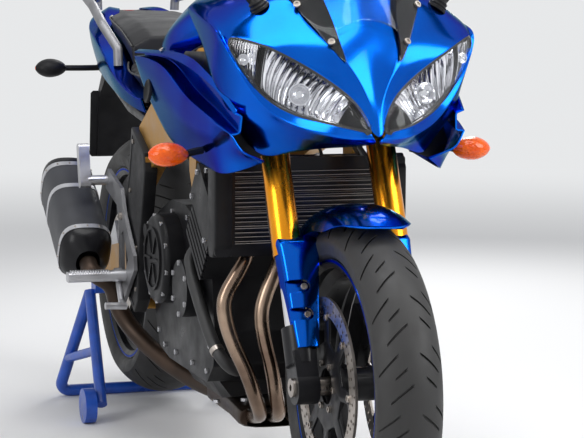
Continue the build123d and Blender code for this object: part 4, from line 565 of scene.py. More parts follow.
def studio_surface(name, colour):
    """A plain stage surface that mirrors nothing and fades into the backdrop."""
    material, tree, shader, place = new_material(name)
    cloud = new_node(tree, "TexNoise", [place], scale=0.6).outputs["Fac"]
    shift_colour(tree, shader, cloud, [c * 0.96 for c in colour], colour)
    set_inputs(shader, {"roughness": 0.9})
    far = new_node(tree, "VectorMath", [place])
    far.operation = "LENGTH"
    fade = new_node(tree, "MapRange", [far.outputs["Value"]], from_min=FADE_FROM, from_max=FADE_TO)
    fade.interpolation_type = "SMOOTHSTEP"
    share = of_math(tree, "MULTIPLY", fade.outputs["Result"], seen_by_eye(tree))
    pale = new_node(tree, "Emission", color=BACKDROP)
    blend = new_node(tree, "MixShader", [share, shader.outputs["BSDF"], pale.outputs["Emission"]])
    tree.links.new(blend.outputs["Shader"], tree.nodes["Material Output"].inputs["Surface"])
    return material


class STUDIO_OT_stage(Operator):
    """Set up the camera, the floor and the soft lamps of the studio"""

    bl_idname = "studio.motorcycle_stage"
    bl_label = "Studio Stage"

    def execute(self, context):
        scene = context.scene
        scene.view_settings.view_transform = "Standard"
        camera_data = bpy.data.cameras.new("camera")
        camera_data.lens = scene.motorcycle_camera.lens
        camera_data.clip_end = 100.0
        camera = bpy.data.objects.new("camera", camera_data)
        scene.collection.objects.link(camera)
        camera.location = mm(*CAMERA_PLACE)
        camera.rotation_euler = turn_of_camera().to_euler()
        scene.camera = camera

        bpy.ops.mesh.primitive_plane_add(size=FLOOR_SIZE, location=(0.0, 0.0, 0.0))
        floor = named("studio_floor")
        floor.data.materials.append(studio_surface("studio_floor", tuple(scene.motorcycle_paint.floor)))

        world = bpy.data.worlds.new("studio")
        scene.world = world
        world.use_nodes = True
        tree = world.node_tree
        shade = set_inputs(tree.nodes["Background"], {"color": (0.93, 0.95, 1.0, 1.0),
                                                      "strength": scene.motorcycle_camera.sky})
        seen = new_node(tree, "Background", color=BACKDROP, strength=1.0)
        choice = new_node(tree, "MixShader",
                          [seen_by_eye(tree), shade.outputs["Background"], seen.outputs["Background"]])
        tree.links.new(choice.outputs["Shader"], tree.nodes["World Output"].inputs["Surface"])

        for name, place, width, height, share in SOFTBOXES:
            lamp = bpy.data.lights.new(name, "AREA")
            lamp.shape = "RECTANGLE"
            lamp.size, lamp.size_y = width, height
            lamp.energy = scene.motorcycle_camera.key_power * share
            box = bpy.data.objects.new(name, lamp)
            scene.collection.objects.link(box)
            box.location = mm(*place)
            box.rotation_euler = (mm(*place) - mm(*SOFTBOX_AIM)).to_track_quat("Z", "Y").to_euler()
        return {"FINISHED"}


class MOTORCYCLE_OT_finishes(Operator):
    """Mix every finish and paint the parts that keep their CAD shape"""

    bl_idname = "motorcycle.finishes"
    bl_label = "Finishes"

    def execute(self, context):
        mix_finishes(context.scene.motorcycle_paint)
        for part in frame["record"]["subparts"]:
            node = frame["nodes"][part["node"]]
            node.data.materials.clear()
            finish = OTHER_FINISH.get(part["node"], part["material_slot"])
            node.data.materials.append(FINISH[finish])
        return {"FINISHED"}


# Nose cowl, from the tip back: centre, ridge, forehead, lamp top, lamp middle, lamp low, crease, fold, lower edge
NOSE = (
    ((0, -820, 752), (4, -819, 754), (8, -817, 757), (12, -813, 763), (14, -815, 760), (14, -816, 757),
     (9, -818, 750), (5, -815, 744), (4, -806, 738)),
    ((0, -812, 783), (6, -811, 783), (11, -809, 783), (16, -806, 783), (29, -815, 775), (38, -816, 763),
     (34, -814, 747), (30, -800, 738), (26, -780, 733)),
    ((0, -801, 808), (11, -801, 808), (20, -797, 808), (29, -793, 807), (49, -806, 790), (62, -811, 768),
     (62, -808, 749), (52, -785, 736), (46, -758, 730)),
    ((0, -788, 840), (24, -793, 842), (38, -787, 836), (50, -780, 830), (76, -786, 804), (92, -780, 775),
     (98, -777, 757), (84, -752, 738), (72, -722, 726)),
    ((0, -778, 868), (44, -785, 872), (66, -774, 864), (86, -763, 857), (110, -760, 822), (122, -745, 783),
     (134, -742, 769), (116, -717, 745), (98, -690, 720)),
    ((0, -766, 898), (60, -768, 900), (94, -762, 890), (125, -752, 881), (144, -740, 838), (149, -719, 795),
     (163, -716, 788), (147, -691, 754), (124, -655, 712)),
    ((0, -752, 930), (76, -748, 922), (124, -742, 914), (174, -731, 908), (180, -722, 862), (176, -703, 816),
     (191, -700, 817), (181, -675, 767), (158, -630, 702)),
    ((0, -735, 962), (96, -712, 952), (148, -712, 936), (205, -697, 919), (207, -698, 884), (203, -688, 850),
     (216, -685, 861), (212, -655, 790), (190, -610, 742)),
    ((0, -712, 1002), (116, -683, 985), (162, -676, 962), (228, -669, 924), (231, -670, 915), (233, -668, 905),
     (245, -664, 922), (236, -590, 836), (212, -560, 800)),
    ((0, -690, 1030), (136, -650, 1000), (176, -642, 985), (226, -636, 950), (233, -634, 946), (239, -632, 942),
     (246, -628, 938), (236, -562, 860), (214, -545, 850)),
    ((0, -640, 1050), (158, -560, 1003), (194, -548, 992), (222, -535, 974), (230, -530, 968), (237, -526, 962),
     (242, -520, 954), (235, -522, 900), (214, -515, 893)),
    ((0, -560, 1050), (176, -455, 990), (200, -440, 988), (216, -425, 982), (223, -420, 979), (229, -415, 975),
     (234, -409, 969), (232, -405, 960), (214, -405, 955)),
)
LAMP_END = 8  # the station where a lamp's outer corner is
LAMP_TOP, LAMP_LOW = 3, 5


def nose_crease(row, column, along):
    """How sharp the nose is along each of its lines."""
    if along:
        lamp = 1.0 if row < LAMP_END else 0.0
        return {0: 0.25, 1: 0.75, LAMP_TOP: lamp, LAMP_LOW: lamp, 6: 0.9, 7: 0.65}.get(column, 0.0)
    return 1.0 if row in (0, LAMP_END) and LAMP_TOP <= column < LAMP_LOW else 0.0


def creased_sheet(name, points, sharpness, wanted=None):
    """A sheet through rows of mm points with its own sharpness along every edge; unwanted cells are left out."""
    columns = len(points[0])
    piece = sheet_of(name, [[mm(*point) for point in row] for row in points])
    with editing(piece, "FACE") as mesh:
        crease = mesh.edges.layers.float["crease_edge"]
        for edge in mesh.edges:
            first, second = sorted(vertex.index for vertex in edge.verts)
            row, column = divmod(first, columns)
            edge[crease] = sharpness(row, column, second - first == columns)
        for face in mesh.faces:
            row, column = divmod(min(vertex.index for vertex in face.verts), columns)
            face.material_index = 1 if wanted and wanted(row, column) == "lens" else 0
            face.select_set(bool(wanted) and wanted(row, column) == "none")
        bpy.ops.mesh.delete(type="FACE")
    return piece


def nose_cells(row, column):
    if column == 0 and row >= LAMP_END:
        return "none"
    return "lens" if LAMP_TOP <= column < LAMP_LOW and row < LAMP_END else "panel"


class MOTORCYCLE_OT_nose_cowl(Operator):
    """Shape the painted nose cowl, the two lamp covers and the black seals between them"""

    bl_idname = "motorcycle.nose_cowl"
    bl_label = "Nose Cowl and Lamp Covers"

    def execute(self, context):
        sizes = context.scene.motorcycle_panels
        nose = creased_sheet("nose_cowl_panels", NOSE, nose_crease, nose_cells)
        for finish in ("blue_paint", "clear"):
            nose.data.materials.append(FINISH[finish])
        face_away(nose, mm(60.0, -600.0, 850.0))
        two_sided(nose)
        smooth_out(nose, sizes.smoothness)
        with editing(nose, "FACE") as mesh:
            if not pick(mesh, mesh.faces, lambda f: f.material_index == 1):
                raise RuntimeError("The nose cowl has no lamp openings.")
            bpy.ops.mesh.separate(type="SELECTED")
        cover = parted(nose, "headlamp_covers")
        with editing(cover, "FACE", whole=True):
            bpy.ops.mesh.inset(thickness=sizes.seal, use_boundary=True)
            bpy.ops.mesh.select_all(action="INVERT")
            bpy.ops.mesh.separate(type="SELECTED")
        seal = parted(cover, "headlamp_seals")
        for piece, thick in ((nose, sizes.wall * METRE), (cover, 2.4), (seal, 9.0)):
            wall(piece, thick)
            round_edges(piece, 0.7)
            soften(piece, 40.0)
        dress(nose, "blue_paint", "nose_cowl")
        dress(cover, "clear", "headlamp_lenses")
        dress(seal, "rubber")
        return {"FINISHED"}


def lamp_point(station, share, depth):
    """A point behind a lamp's cover: its station along the lamp, its share from top to bottom, its depth in mm."""
    low = min(int(station), LAMP_END - 1)
    part = station - low
    lines = [Vector(NOSE[low][c]).lerp(Vector(NOSE[low + 1][c]), part) for c in (LAMP_TOP, LAMP_TOP + 1, LAMP_LOW)]
    top, middle, bottom = lines
    weights = ((1 - share) * (1 - 2 * share), 4 * share * (1 - share), share * (2 * share - 1))
    spot = top * weights[0] + middle * weights[1] + bottom * weights[2]
    return mm(spot.x - 0.10 * depth, spot.y + depth, spot.z)


def lamp_part(name, first, last, rows, columns, depth, margin):
    """A sheet inside the lamp between two stations, at the depth that is given for (share along, share down)."""
    shares = [margin + (1 - 2 * margin) * c / columns for c in range(columns + 1)]
    return sheet_of(name, [[lamp_point(first + (last - first) * r / rows, down, depth(r / rows, down))
                            for down in shares] for r in range(rows + 1)])


def dome(along, down):
    """Is one in the middle of a lamp's field and falls to zero at its edges."""
    return (1 - (2 * along - 1) ** 2) * (1 - (2 * down - 1) ** 2)


def flutes(along, count):
    """Runs between zero and one this many times along a lamp's field."""
    return abs(math.cos(math.pi * count * along))


LAMP_FIELDS = (  # kind, first and last station, cells along and down, depth by (along, down), margin
    ("bright", 2.45, 6.02, 104, 22, lambda a, d: 13.0 + 44.0 * max(dome(a, d), 0.0) ** 0.6 - 3.4 * flutes(a, 13), 0.04),
    ("bright", 6.42, 7.9, 88, 16, lambda a, d: 9.0 + 16.0 * dome(a, d) - 1.2 * flutes(a, 11), 0.04),
    ("bright", 2.30, 2.48, 4, 22, lambda a, d: 6.0 + 7.0 * a, 0.04),
    ("dark", 0.35, 2.32, 12, 10, lambda a, d: 7.0 + 4.0 * math.sin(math.pi * a), 0.04),
    ("dark", 5.98, 6.45, 56, 10, lambda a, d: 8.0 + 1.6 * flutes(a, 7), 0.02),
)
BULB_RING = ((0.0, 0.1), (0.0, 6.0), (2.0, 7.0), (0.5, 9.0), (2.5, 10.5), (0.8, 12.5), (3.0, 14.0), (1.0, 16.0),
             (4.5, 18.0), (4.5, 19.5), (0.0, 20.0))
BULBS = ((4.25, 1.0, 26.0), (7.05, 0.52, 14.0))  # station, size, depth


class MOTORCYCLE_OT_headlamps(Operator):
    """Fit the fluted reflectors, bulbs, position lamps and dark end pieces inside the lamp covers"""

    bl_idname = "motorcycle.headlamps"
    bl_label = "Headlamp Insides"

    def execute(self, context):
        fields = {"bright": [], "dark": []}
        for kind, *field in LAMP_FIELDS:
            piece = lamp_part(kind, *field)
            soften(piece, 50.0)
            fields[kind].append(piece)
        reflectors = join("headlamp_reflectors", fields["bright"])
        bezels = join("headlamp_bezels", fields["dark"])
        bulbs = []
        for station, size, depth in BULBS:
            spot = lamp_point(station, 0.55, depth) * METRE
            ring = [(along * size, radius * size) for along, radius in BULB_RING]
            bulbs.append(lathe("bulb_ring", ring, (spot.x, spot.y - MID_Y, spot.z), (0.16, -0.97, 0.1), 28))
        rings = join("headlamp_bulb_rings", bulbs)
        wall(reflectors, 1.0)
        wall(bezels, 1.0)
        for piece, finish in ((reflectors, "reflector"), (bezels, "black_plastic"), (rings, "reflector")):
            two_sided(piece)
            dress(piece, finish, angle=30.0)
        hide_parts("headlamp_units")
        return {"FINISHED"}


# Windscreen, from the tips of its prongs up: centre, quarter, inner edge of the prong, outer edge
SCREEN = (
    ((0, -757, 930), (25, -762, 925), (49, -790, 881), (52, -790, 880)),
    ((0, -752, 944), (28, -757, 936), (55, -774, 912), (75, -763, 912)),
    ((0, -746, 957), (30, -751, 951), (57, -752, 937), (91, -737, 940)),
    ((0, -729, 990), (33, -728, 988), (66, -719, 986), (123, -689, 984)),
    ((0, -690, 1070), (48, -682, 1070), (98, -655, 1070), (150, -607, 1070)),
    ((0, -636, 1150), (46, -627, 1150), (92, -602, 1150), (136, -562, 1150)),
    ((0, -590, 1204), (34, -585, 1204), (66, -569, 1203), (92, -549, 1200)),
)
SCREEN_SCREWS = ((70, -763, 915), (113, -698, 979))


class MOTORCYCLE_OT_windscreen(Operator):
    """Shape the clear windscreen with its two prongs, its dark edge band and its screws"""

    bl_idname = "motorcycle.windscreen"
    bl_label = "Windscreen"

    def execute(self, context):
        def sharpness(row, column, along):
            return 0.5 if along and column == 2 and row < 3 else 0.0

        screen = creased_sheet("windscreen_sheet", SCREEN, sharpness,
                               lambda row, column: "none" if row < 2 and column < 2 else "panel")
        face_away(screen, mm(40.0, -300.0, 1000.0))
        edge = [[Vector(point) + Vector((0.0, 4.6, 0.0)) for point in row[2:]] for row in SCREEN[:5]]
        band = creased_sheet("windscreen_band", edge, lambda row, column, along: 0.0)
        face_away(band, mm(40.0, -300.0, 1000.0))
        for piece, thick in ((screen, 3.0), (band, 1.2)):
            two_sided(piece)
            smooth_out(piece, 3)
            wall(piece, thick)
            soften(piece, 40.0)
        dress(screen, "clear", "windscreen")
        dress(band, "black_plastic")
        screws = [(mm(x * side, y, z), (0.35 * side, -0.8, 0.5))
                  for side in (1, -1) for x, y, z in SCREEN_SCREWS]
        dress(set_down("windscreen_screws", bolt(6.5, 4.0), screws), "steel")
        return {"FINISHED"}


# Side cowl, from the rear forward: blade top, blade edge, slot floor high and low, crease, belly, lower edge
SIDE_COWL = (
    ((220, 31, 874), (231, 31, 868), (208, 31, 866), (208, 31, 862), (230, 31, 860), (229, 31, 853), (226, 31, 843)),
    ((223, -30, 876), (232, -30, 869), (208, -30, 867), (208, -30, 863), (232, -30, 862), (231, -30, 838),
     (225, -30, 797)),
    ((224, -120, 878), (232, -120, 871), (206, -120, 869), (206, -120, 863), (234, -120, 861), (234, -120, 822),
     (225, -120, 757)),
    ((224, -225, 881), (232, -225, 871), (205, -225, 868), (205, -225, 853), (235, -225, 851), (238, -225, 796),
     (225, -225, 710)),
    ((224, -335, 880), (233, -335, 865), (206, -335, 862), (206, -335, 818), (236, -335, 815), (240, -335, 766),
     (227, -335, 693)),
    ((226, -431, 872), (235, -431, 855), (207, -431, 850), (207, -431, 798), (238, -431, 795), (240, -431, 744),
     (222, -431, 683)),
    ((230, -530, 852), (236, -530, 840), (210, -530, 834), (210, -530, 783), (237, -530, 780), (238, -530, 734),
     (218, -530, 672)),
    ((226, -600, 834), (232, -600, 824), (211, -600, 815), (211, -600, 768), (235, -600, 766), (233, -600, 727),
     (212, -590, 668)),
    ((214, -668, 792), (220, -668, 786), (206, -666, 780), (208, -662, 752), (225, -660, 749), (206, -668, 716),
     (158, -652, 697)),
)


class MOTORCYCLE_OT_side_cowls(Operator):
    """Shape the side cowls with their blade, dark slot and sharp upper crease"""

    bl_idname = "motorcycle.side_cowls"
    bl_label = "Side Cowls"

    def execute(self, context):
        sizes = context.scene.motorcycle_panels

        def sharpness(row, column, along):
            return {1: 0.9, 2: 0.8, 3: 0.8, 4: 0.88, 5: 0.3}.get(column, 0.0) if along else 0.0

        cowl = creased_sheet("side_cowl_panels", SIDE_COWL, sharpness)
        face_away(cowl, mm(0.0, -300.0, 780.0))
        smooth_out(cowl, sizes.smoothness, corners=True)
        wall(cowl, sizes.wall * METRE)
        two_sided(cowl)
        round_edges(cowl, 0.8)
        dress(cowl, "blue_paint", "side_cowls", angle=38.0)
        return {"FINISHED"}


# Mudguard's section from the crown to the skirt: x, radius, front angle and rear angle
FENDER = (
    (0, 327, 66, 141), (26, 326, 66.5, 141), (48, 321, 69, 140), (63, 311, 74, 138), (72, 297, 80, 135),
    (76, 278, 88, 131),
)
# Fork guard from the bottom up: height along the leg, then x and back of its outer rear, outer front,
# middle, inner front and inner rear edges
GUARD = (
    (66, (119, 2), (117, -30), (100, -34), (77, -30), (75, -6)),
    (100, (122, 2), (119, -30), (96, -35), (72, -31), (71, -6)),
    (140, (124, 2), (121, -31), (98, -37), (68, -32), (66, -6)),
    (200, (127, 0), (123, -31), (98, -38), (60, -33), (58, -8)),
    (245, (129, 0), (125, -31), (96, -38), (54, -33), (51, -10)),
    (263, (130, 0), (127, -29), (96, -35), (52, -31), (48, -12)),
    (276, (130, 4), (126, -20), (96, -22), (56, -20), (50, -6)),
    (288, (126, 12), (118, -2), (94, -2), (66, -2), (58, 6)),
)
ARCH_STEPS = 8
SLOTS = (127, 179)  # heights of the slots' middles along the leg
SLOT_HALF = 11.5
SLOT_INNER, SLOT_OUTER = 92, 134  # x where a slot's round end is, and past the guard's outer side
POCKET_OUTER, POCKET_MARGIN = 122.5, 1.5
POCKET_LEVELS = (-23.5, -20.5)


def guard_level(a, b, level):
    return on_fork(a, level, b)


class MOTORCYCLE_OT_front_mudguard(Operator):
    """Shape the front mudguard and the slotted guards over the fork's lower legs"""

    bl_idname = "motorcycle.front_mudguard"
    bl_label = "Front Mudguard"

    def execute(self, context):
        sizes = context.scene.motorcycle_panels
        shares = [step / ARCH_STEPS for step in range(ARCH_STEPS + 1)]
        rows = [[on_wheel(FRONT_AXLE, x, r, front + (rear - front) * share) for x, r, front, rear in FENDER]
                for share in shares]
        arch = sheet_of("mudguard_arch", rows, ribs={3: 0.35})
        face_away(arch, mm(*FRONT_AXLE))
        two_sided(arch)
        smooth_out(arch, 3)
        wall(arch, sizes.wall * METRE)
        round_edges(arch, 0.9)

        rows = [[on_fork(x, back, along) for x, back in edges] for along, *edges in GUARD]
        guard = sheet_of("fork_guard", rows, ridges={5: 0.75, 7: 0.4}, ribs={1: 0.35, 3: 0.5})
        face_away(guard, on_fork(98, 10, 150))
        smooth_out(guard, 3)
        wall(guard, sizes.wall * METRE)
        pockets = []
        for along in SLOTS:
            rim = [(SLOT_INNER + SLOT_HALF * math.cos(t), along + SLOT_HALF * math.sin(t))
                   for t in (math.radians(a) for a in range(90, 271, 20))]
            slot = slab("slot", [*rim, (SLOT_OUTER, along - SLOT_HALF), (SLOT_OUTER, along + SLOT_HALF)], -60, -20,
                        guard_level)
            mend(slot)
            reach = SLOT_HALF + POCKET_MARGIN
            pocket = [*((a - POCKET_MARGIN, b) for a, b in rim), (POCKET_OUTER, along - reach),
                      (POCKET_OUTER, along + reach)]
            floor = slab("pocket", pocket, *POCKET_LEVELS, guard_level)
            mend(floor)
            pockets.append(floor)
            cut(guard, slot)
        guard = join("fork_guard", [guard, *pockets])
        two_sided(guard)
        round_edges(guard, 0.8)
        dress(join("front_mudguard_panels", [arch, guard]), "blue_paint", "front_mudguard", body="fork", angle=38.0)
        ahead = on_fork(0, -1, 0) - on_fork(0, 0, 0)
        spots = []
        for along in SLOTS:
            spot = on_fork(90, -24, along)
            spots += [(spot, ahead), (Vector((-spot.x, spot.y, spot.z)), ahead)]
        dress(set_down("guard_bolts", bolt(6.5, 5.0), spots), "steel", body="fork")
        return {"FINISHED"}


# Running gear
FLANGE_R = 228.0
SEAT_R = 216.0
TREAD_PITCHES = 18
GROOVE_DEPTH = 4.2
CROWN_STEPS = 34
GROOVES = (  # place in the pitch, side, where the groove starts and ends as shares of the half width
    (0.04, 1, 0.10, 0.58), (0.21, -1, 0.40, 0.90), (0.37, 1, 0.46, 0.92), (0.54, -1, 0.10, 0.58),
    (0.71, 1, 0.22, 0.48), (0.87, -1, 0.24, 0.50),
)
WHEELS = (  # wheel, axle, half across its stripes, tyre's radius and width, half the rim, share of the side, sweep
    ("front", FRONT_AXLE, 51.0, 300.0, 120.0, 44.5, 0.44, 62.0),
    ("rear", REAR_AXLE, 82.5, 311.0, 190.0, 76.0, 0.4, -80.0),
)
STRIPE_R = (221.4, 221.8, 226.2, 226.6)
VALVE_TURN = 250.0
VALVE_LINE = ((0.0, 196.0), (-8.0, 186.0), (-20.0, 168.0))  # x and radius
FRONT_DISC_X, REAR_DISC_X, DISC_THICK = 62.0, -88.0, 5.0
FRONT_RING, REAR_RING = (127.0, 160.0, 60), (88.0, 122.5, 48)  # inner and outer radius, cells
FRONT_CARRIER, REAR_CARRIER = (78.0, 129.0, 8), (58.0, 92.0, 5)  # inner and outer radius, arms
BOBBIN_R, ROTOR_BOLT_R = 124.0, 44.0
HOLE_ROWS, HOLE_R = 3, 3.4
HUB_R, HUB_BORE = 32.0, 40.0
GROOVE_WALLS = ((-2.9, 0.0), (-1.5, 1.0), (1.5, 1.0), (2.9, 0.0))  # mm along the tread, share of the depth


def tyre_section(radius, width, rim_half, side_share):
    """The tyre's section from one bead over the crown to the other and back inside: (x, radius, share across)."""
    edge = width / 2.0 - 1.0
    shoulder = FLANGE_R + (radius - FLANGE_R) * side_share
    rise = radius - shoulder
    arc = (edge * edge + rise * rise) / (2.0 * rise)
    middle = radius - arc
    half = math.asin(min(edge / arc, 1.0)) if rise < arc else math.pi - math.asin(edge / arc)
    belly = FLANGE_R + (shoulder - FLANGE_R) * 0.56
    wall_side = [
        (rim_half, SEAT_R + 1.0, 9.0), (rim_half + 1.0, FLANGE_R + 0.5, 9.0), (rim_half + 5.0, FLANGE_R + 1.5, 9.0),
        ((rim_half + edge) / 2.0 + 4.0, (FLANGE_R + belly) / 2.0 - 1.0, 9.0), (edge - 1.2, belly, 9.0),
        (edge - 0.2, (belly + shoulder) / 2.0, 9.0),
    ]
    crown = []
    for step in range(CROWN_STEPS):
        share = 2.0 * step / (CROWN_STEPS - 1) - 1.0
        turn = -share * half
        crown.append((math.sin(turn) * arc, middle + math.cos(turn) * arc, -share))
    inner = [(-rim_half + 14.0, SEAT_R + 1.0, 9.0), (-edge + 13.0, belly + 4.0, 9.0), (0.0, radius - 10.0, 9.0),
             (edge - 13.0, belly + 4.0, 9.0), (rim_half - 14.0, SEAT_R + 1.0, 9.0)]
    return wall_side + crown + [(-x, r, share) for x, r, share in reversed(wall_side)] + inner


def tread_columns(radius):
    """Round the tyre: the angle of each column, then the side, start, end and depth share of its groove."""
    pitch = 2.0 * math.pi / TREAD_PITCHES
    columns = []
    for count in range(TREAD_PITCHES):
        for place, side, start, end in GROOVES:
            for along, share in GROOVE_WALLS:
                columns.append(((count + place) * pitch + along / radius, side, start, end, share))
    return columns


def tyre(name, axle, radius, width, rim_half, side_share, sweep):
    """A tyre whose grooves run in arcs from its middle out to its shoulders."""
    section = tyre_section(radius, width, rim_half, side_share)
    columns = tread_columns(radius)
    rows = []
    for turn, side, start, end, share in [*columns, columns[0]]:
        row = []
        for x, out, across in [*section, section[0]]:
            swept = turn - sweep * min(abs(across), 1.0) ** 1.15 / radius
            if across * side > 0.0 and start <= abs(across) <= end:
                out -= GROOVE_DEPTH * share
            row.append(on_wheel(axle, x, out, math.degrees(swept)))
        rows.append(row)
    piece = sheet_of(name, rows)
    mend(piece, 0.01)
    soften(piece, 30.0)
    return piece


def ring(name, axle, profile):
    """A turned ring on a wheel: its profile holds (x, radius) pairs and closes on itself."""
    piece = lathe(name, [*profile, profile[0]], axle, (1.0, 0.0, 0.0), steps=96)
    soften(piece, 30.0)
    return piece


def drilled_disc(name, axle, middle, inner, outer, cells):
    """A flat ring of cells, each with a round hole through it."""
    deep = (outer - inner) / HOLE_ROWS
    corner = ((-1, -1), (0, -1), (1, -1), (1, 0), (1, 1), (0, 1), (-1, 1), (-1, 0))
    bpy.ops.mesh.primitive_circle_add(vertices=8, fill_type="NOTHING")
    piece = named(name)
    with editing(piece) as mesh:
        bmesh.ops.delete(mesh, geom=mesh.verts[:], context="VERTS")
        for count in range(cells):
            for row in range(HOLE_ROWS):
                at_turn = 360.0 / cells * (count + 0.5)
                at_radius = inner + deep * (row + 0.5)
                drilled = (count + row * 2) % 3 != 0
                rim, eye = [], []
                for step, (a, b) in enumerate(corner):
                    radius = at_radius + b * deep / 2.0
                    rim.append(mesh.verts.new(on_wheel(axle, middle, radius, at_turn + a * 180.0 / cells)))
                    if drilled:
                        turn = math.radians(step * 45.0 - 135.0)
                        side = math.degrees(math.cos(turn) * HOLE_R / at_radius)
                        eye.append(mesh.verts.new(
                            on_wheel(axle, middle, at_radius + math.sin(turn) * HOLE_R, at_turn + side)))
                if drilled:
                    for step in range(8):
                        after = (step + 1) % 8
                        mesh.faces.new((rim[step], rim[after], eye[after], eye[step]))
                else:
                    mesh.faces.new(rim)
    with editing(piece, whole=True):
        bpy.ops.mesh.remove_doubles(threshold=0.00002)
    apply(piece, "SOLIDIFY", thickness=DISC_THICK / METRE, offset=0.0)
    mend(piece, 0.001)
    soften(piece, 30.0)
    return piece


def spider(name, axle, middle, inner, outer, arms):
    """A disc's carrier: a ring with arms out to the drilled ring."""
    outline = []
    for arm in range(arms):
        base = 360.0 / arms * arm
        for offset, radius in ((-0.36, inner), (-0.2, inner + 3.0), (-0.11, outer), (0.11, outer),
                               (0.2, inner + 3.0), (0.36, inner)):
            turn = math.radians(base + offset * 360.0 / arms)
            outline.append((radius * math.cos(turn), radius * math.sin(turn)))

    def place(a, b, x):
        return mm(axle[0] + x, axle[1] - a, axle[2] + b)

    piece = slab(name, outline, middle - DISC_THICK / 2.0, middle + DISC_THICK / 2.0, place)
    cut(piece, bore((axle[0] + middle - HUB_BORE / 2.0, axle[1], axle[2]), HUB_R, HUB_BORE))
    round_edges(piece, 1.2)
    soften(piece, 30.0)
    return piece


class MOTORCYCLE_OT_tyres(Operator):
    """Mould both tyres with their tread, lay the coloured stripes on the rims and fit the valves"""

    bl_idname = "motorcycle.tyres"
    bl_label = "Tyres and Rim Stripes"

    def execute(self, context):
        for wheel, axle, _, *sizes in WHEELS:
            tread = tyre(f"{wheel}_tyre_tread", axle, *sizes)
            dress(tread, "tyre", f"{wheel}_tyre", body=f"{wheel}_wheel")
        for wheel, axle, half, *_ in WHEELS:
            edge = list(zip((half - 0.4, half + 0.35, half + 0.35, half - 0.4), STRIPE_R))
            stripes = [ring("stripe", axle, [(way * x, r) for x, r in edge]) for way in (-1, 1)]
            dress(join(f"{wheel}_rim_stripes", stripes), "blue_paint", body=f"{wheel}_wheel")
            valve = [on_wheel(axle, x, radius, VALVE_TURN) for x, radius in VALVE_LINE]
            dress(tube(f"{wheel}_valve", valve, 3.6), "rubber", body=f"{wheel}_wheel", slot="tyre")
        return {"FINISHED"}


class MOTORCYCLE_OT_discs(Operator):
    """Drill the brake discs and bolt them to their carriers"""

    bl_idname = "motorcycle.discs"
    bl_label = "Brake Discs"

    def execute(self, context):
        rings, carriers, pins, heads = [], [], [], []
        for way in (-1, 1):
            x = way * FRONT_DISC_X
            rings.append(drilled_disc("ring", FRONT_AXLE, x, *FRONT_RING))
            carriers.append(spider("carrier", FRONT_AXLE, x, *FRONT_CARRIER))
            out = (way, 0.0, 0.0)
            pins += [(on_wheel(FRONT_AXLE, x + way * 2.0, BOBBIN_R, arm * 45.0), out) for arm in range(8)]
            heads += [(on_wheel(FRONT_AXLE, x + way * 2.4, ROTOR_BOLT_R, turn * 60.0), out) for turn in range(6)]
        dress(join("front_disc_rings", rings), "steel", "front_brake_discs", body="front_wheel")
        dress(join("front_disc_carriers", carriers), "black_paint", body="front_wheel")
        dress(set_down("front_disc_bobbins", bolt(6.5, 3.5), pins), "steel", body="front_wheel")
        dress(set_down("front_disc_bolts", bolt(6.0, 4.0), heads), "steel", body="front_wheel")
        disc = drilled_disc("rear_disc_ring", REAR_AXLE, REAR_DISC_X, *REAR_RING)
        dress(disc, "steel", "rear_brake_disc", body="rear_wheel")
        dress(spider("rear_disc_carrier", REAR_AXLE, REAR_DISC_X, *REAR_CARRIER), "steel", body="rear_wheel")
        return {"FINISHED"}


# Lamps at the sides
SIGNAL_RINGS = ((-39, 5.0), (-34, 11.5), (-24, 18.0), (-8, 22.5), (8, 22.8), (22, 18.5), (32, 11.0), (36.5, 4.0))
SIGNALS = (  # lamp, the root of its stalk, whether its lens faces forwards
    ((300.0, -509.0, 702.0), (231.0, -500.0, 708.0), True),
    ((232.0, 880.0, 796.0), (113.0, 880.0, 796.0), False),
)


def signal_half(spot, out, ahead):
    """The front or the back half of a turn signal, as rings along its length."""
    rows = []
    for along, high in SIGNAL_RINGS:
        deep = -high * 1.1 if ahead else high * 0.95
        turns = [math.pi * (step / 8.0 - 0.5) for step in range(9)]
        rows.append([Vector(spot) / METRE + Vector((out * along, math.cos(t) * deep, math.sin(t) * high)) / METRE
                     for t in turns])
    return sheet_of("signal", rows, ribs={0: 1.0, 8: 1.0})


class MOTORCYCLE_OT_turn_signals(Operator):
    """Mould the amber lenses of the turn signals and their black housings and stalks"""

    bl_idname = "motorcycle.turn_signals"
    bl_label = "Turn Signals"

    def execute(self, context):
        lenses, housings = [], []
        for (x, y, z), root, forwards in SIGNALS:
            for way in (-1, 1):
                place = (way * x, y + MID_Y, z)
                for halves, ahead in ((lenses, forwards), (housings, not forwards)):
                    half = signal_half(place, way, ahead)
                    smooth_out(half, 2)
                    halves.append(half)
                    face_away(half, Vector(place) / METRE)
                line = (root, ((root[0] + x - 36) / 2, (root[1] + y) / 2, root[2] - 1), (x - 34, y, z))
                housings.append(tube("stalk", [mm(way * a, b, c) for a, b, c in line], 7.0))
        lens = join("turn_signal_lenses", lenses)
        wall(lens, 2.0)
        dress(lens, "amber", "turn_signals", angle=50.0)
        dress(join("turn_signal_housings", housings), "black_plastic", angle=40.0)
        return {"FINISHED"}


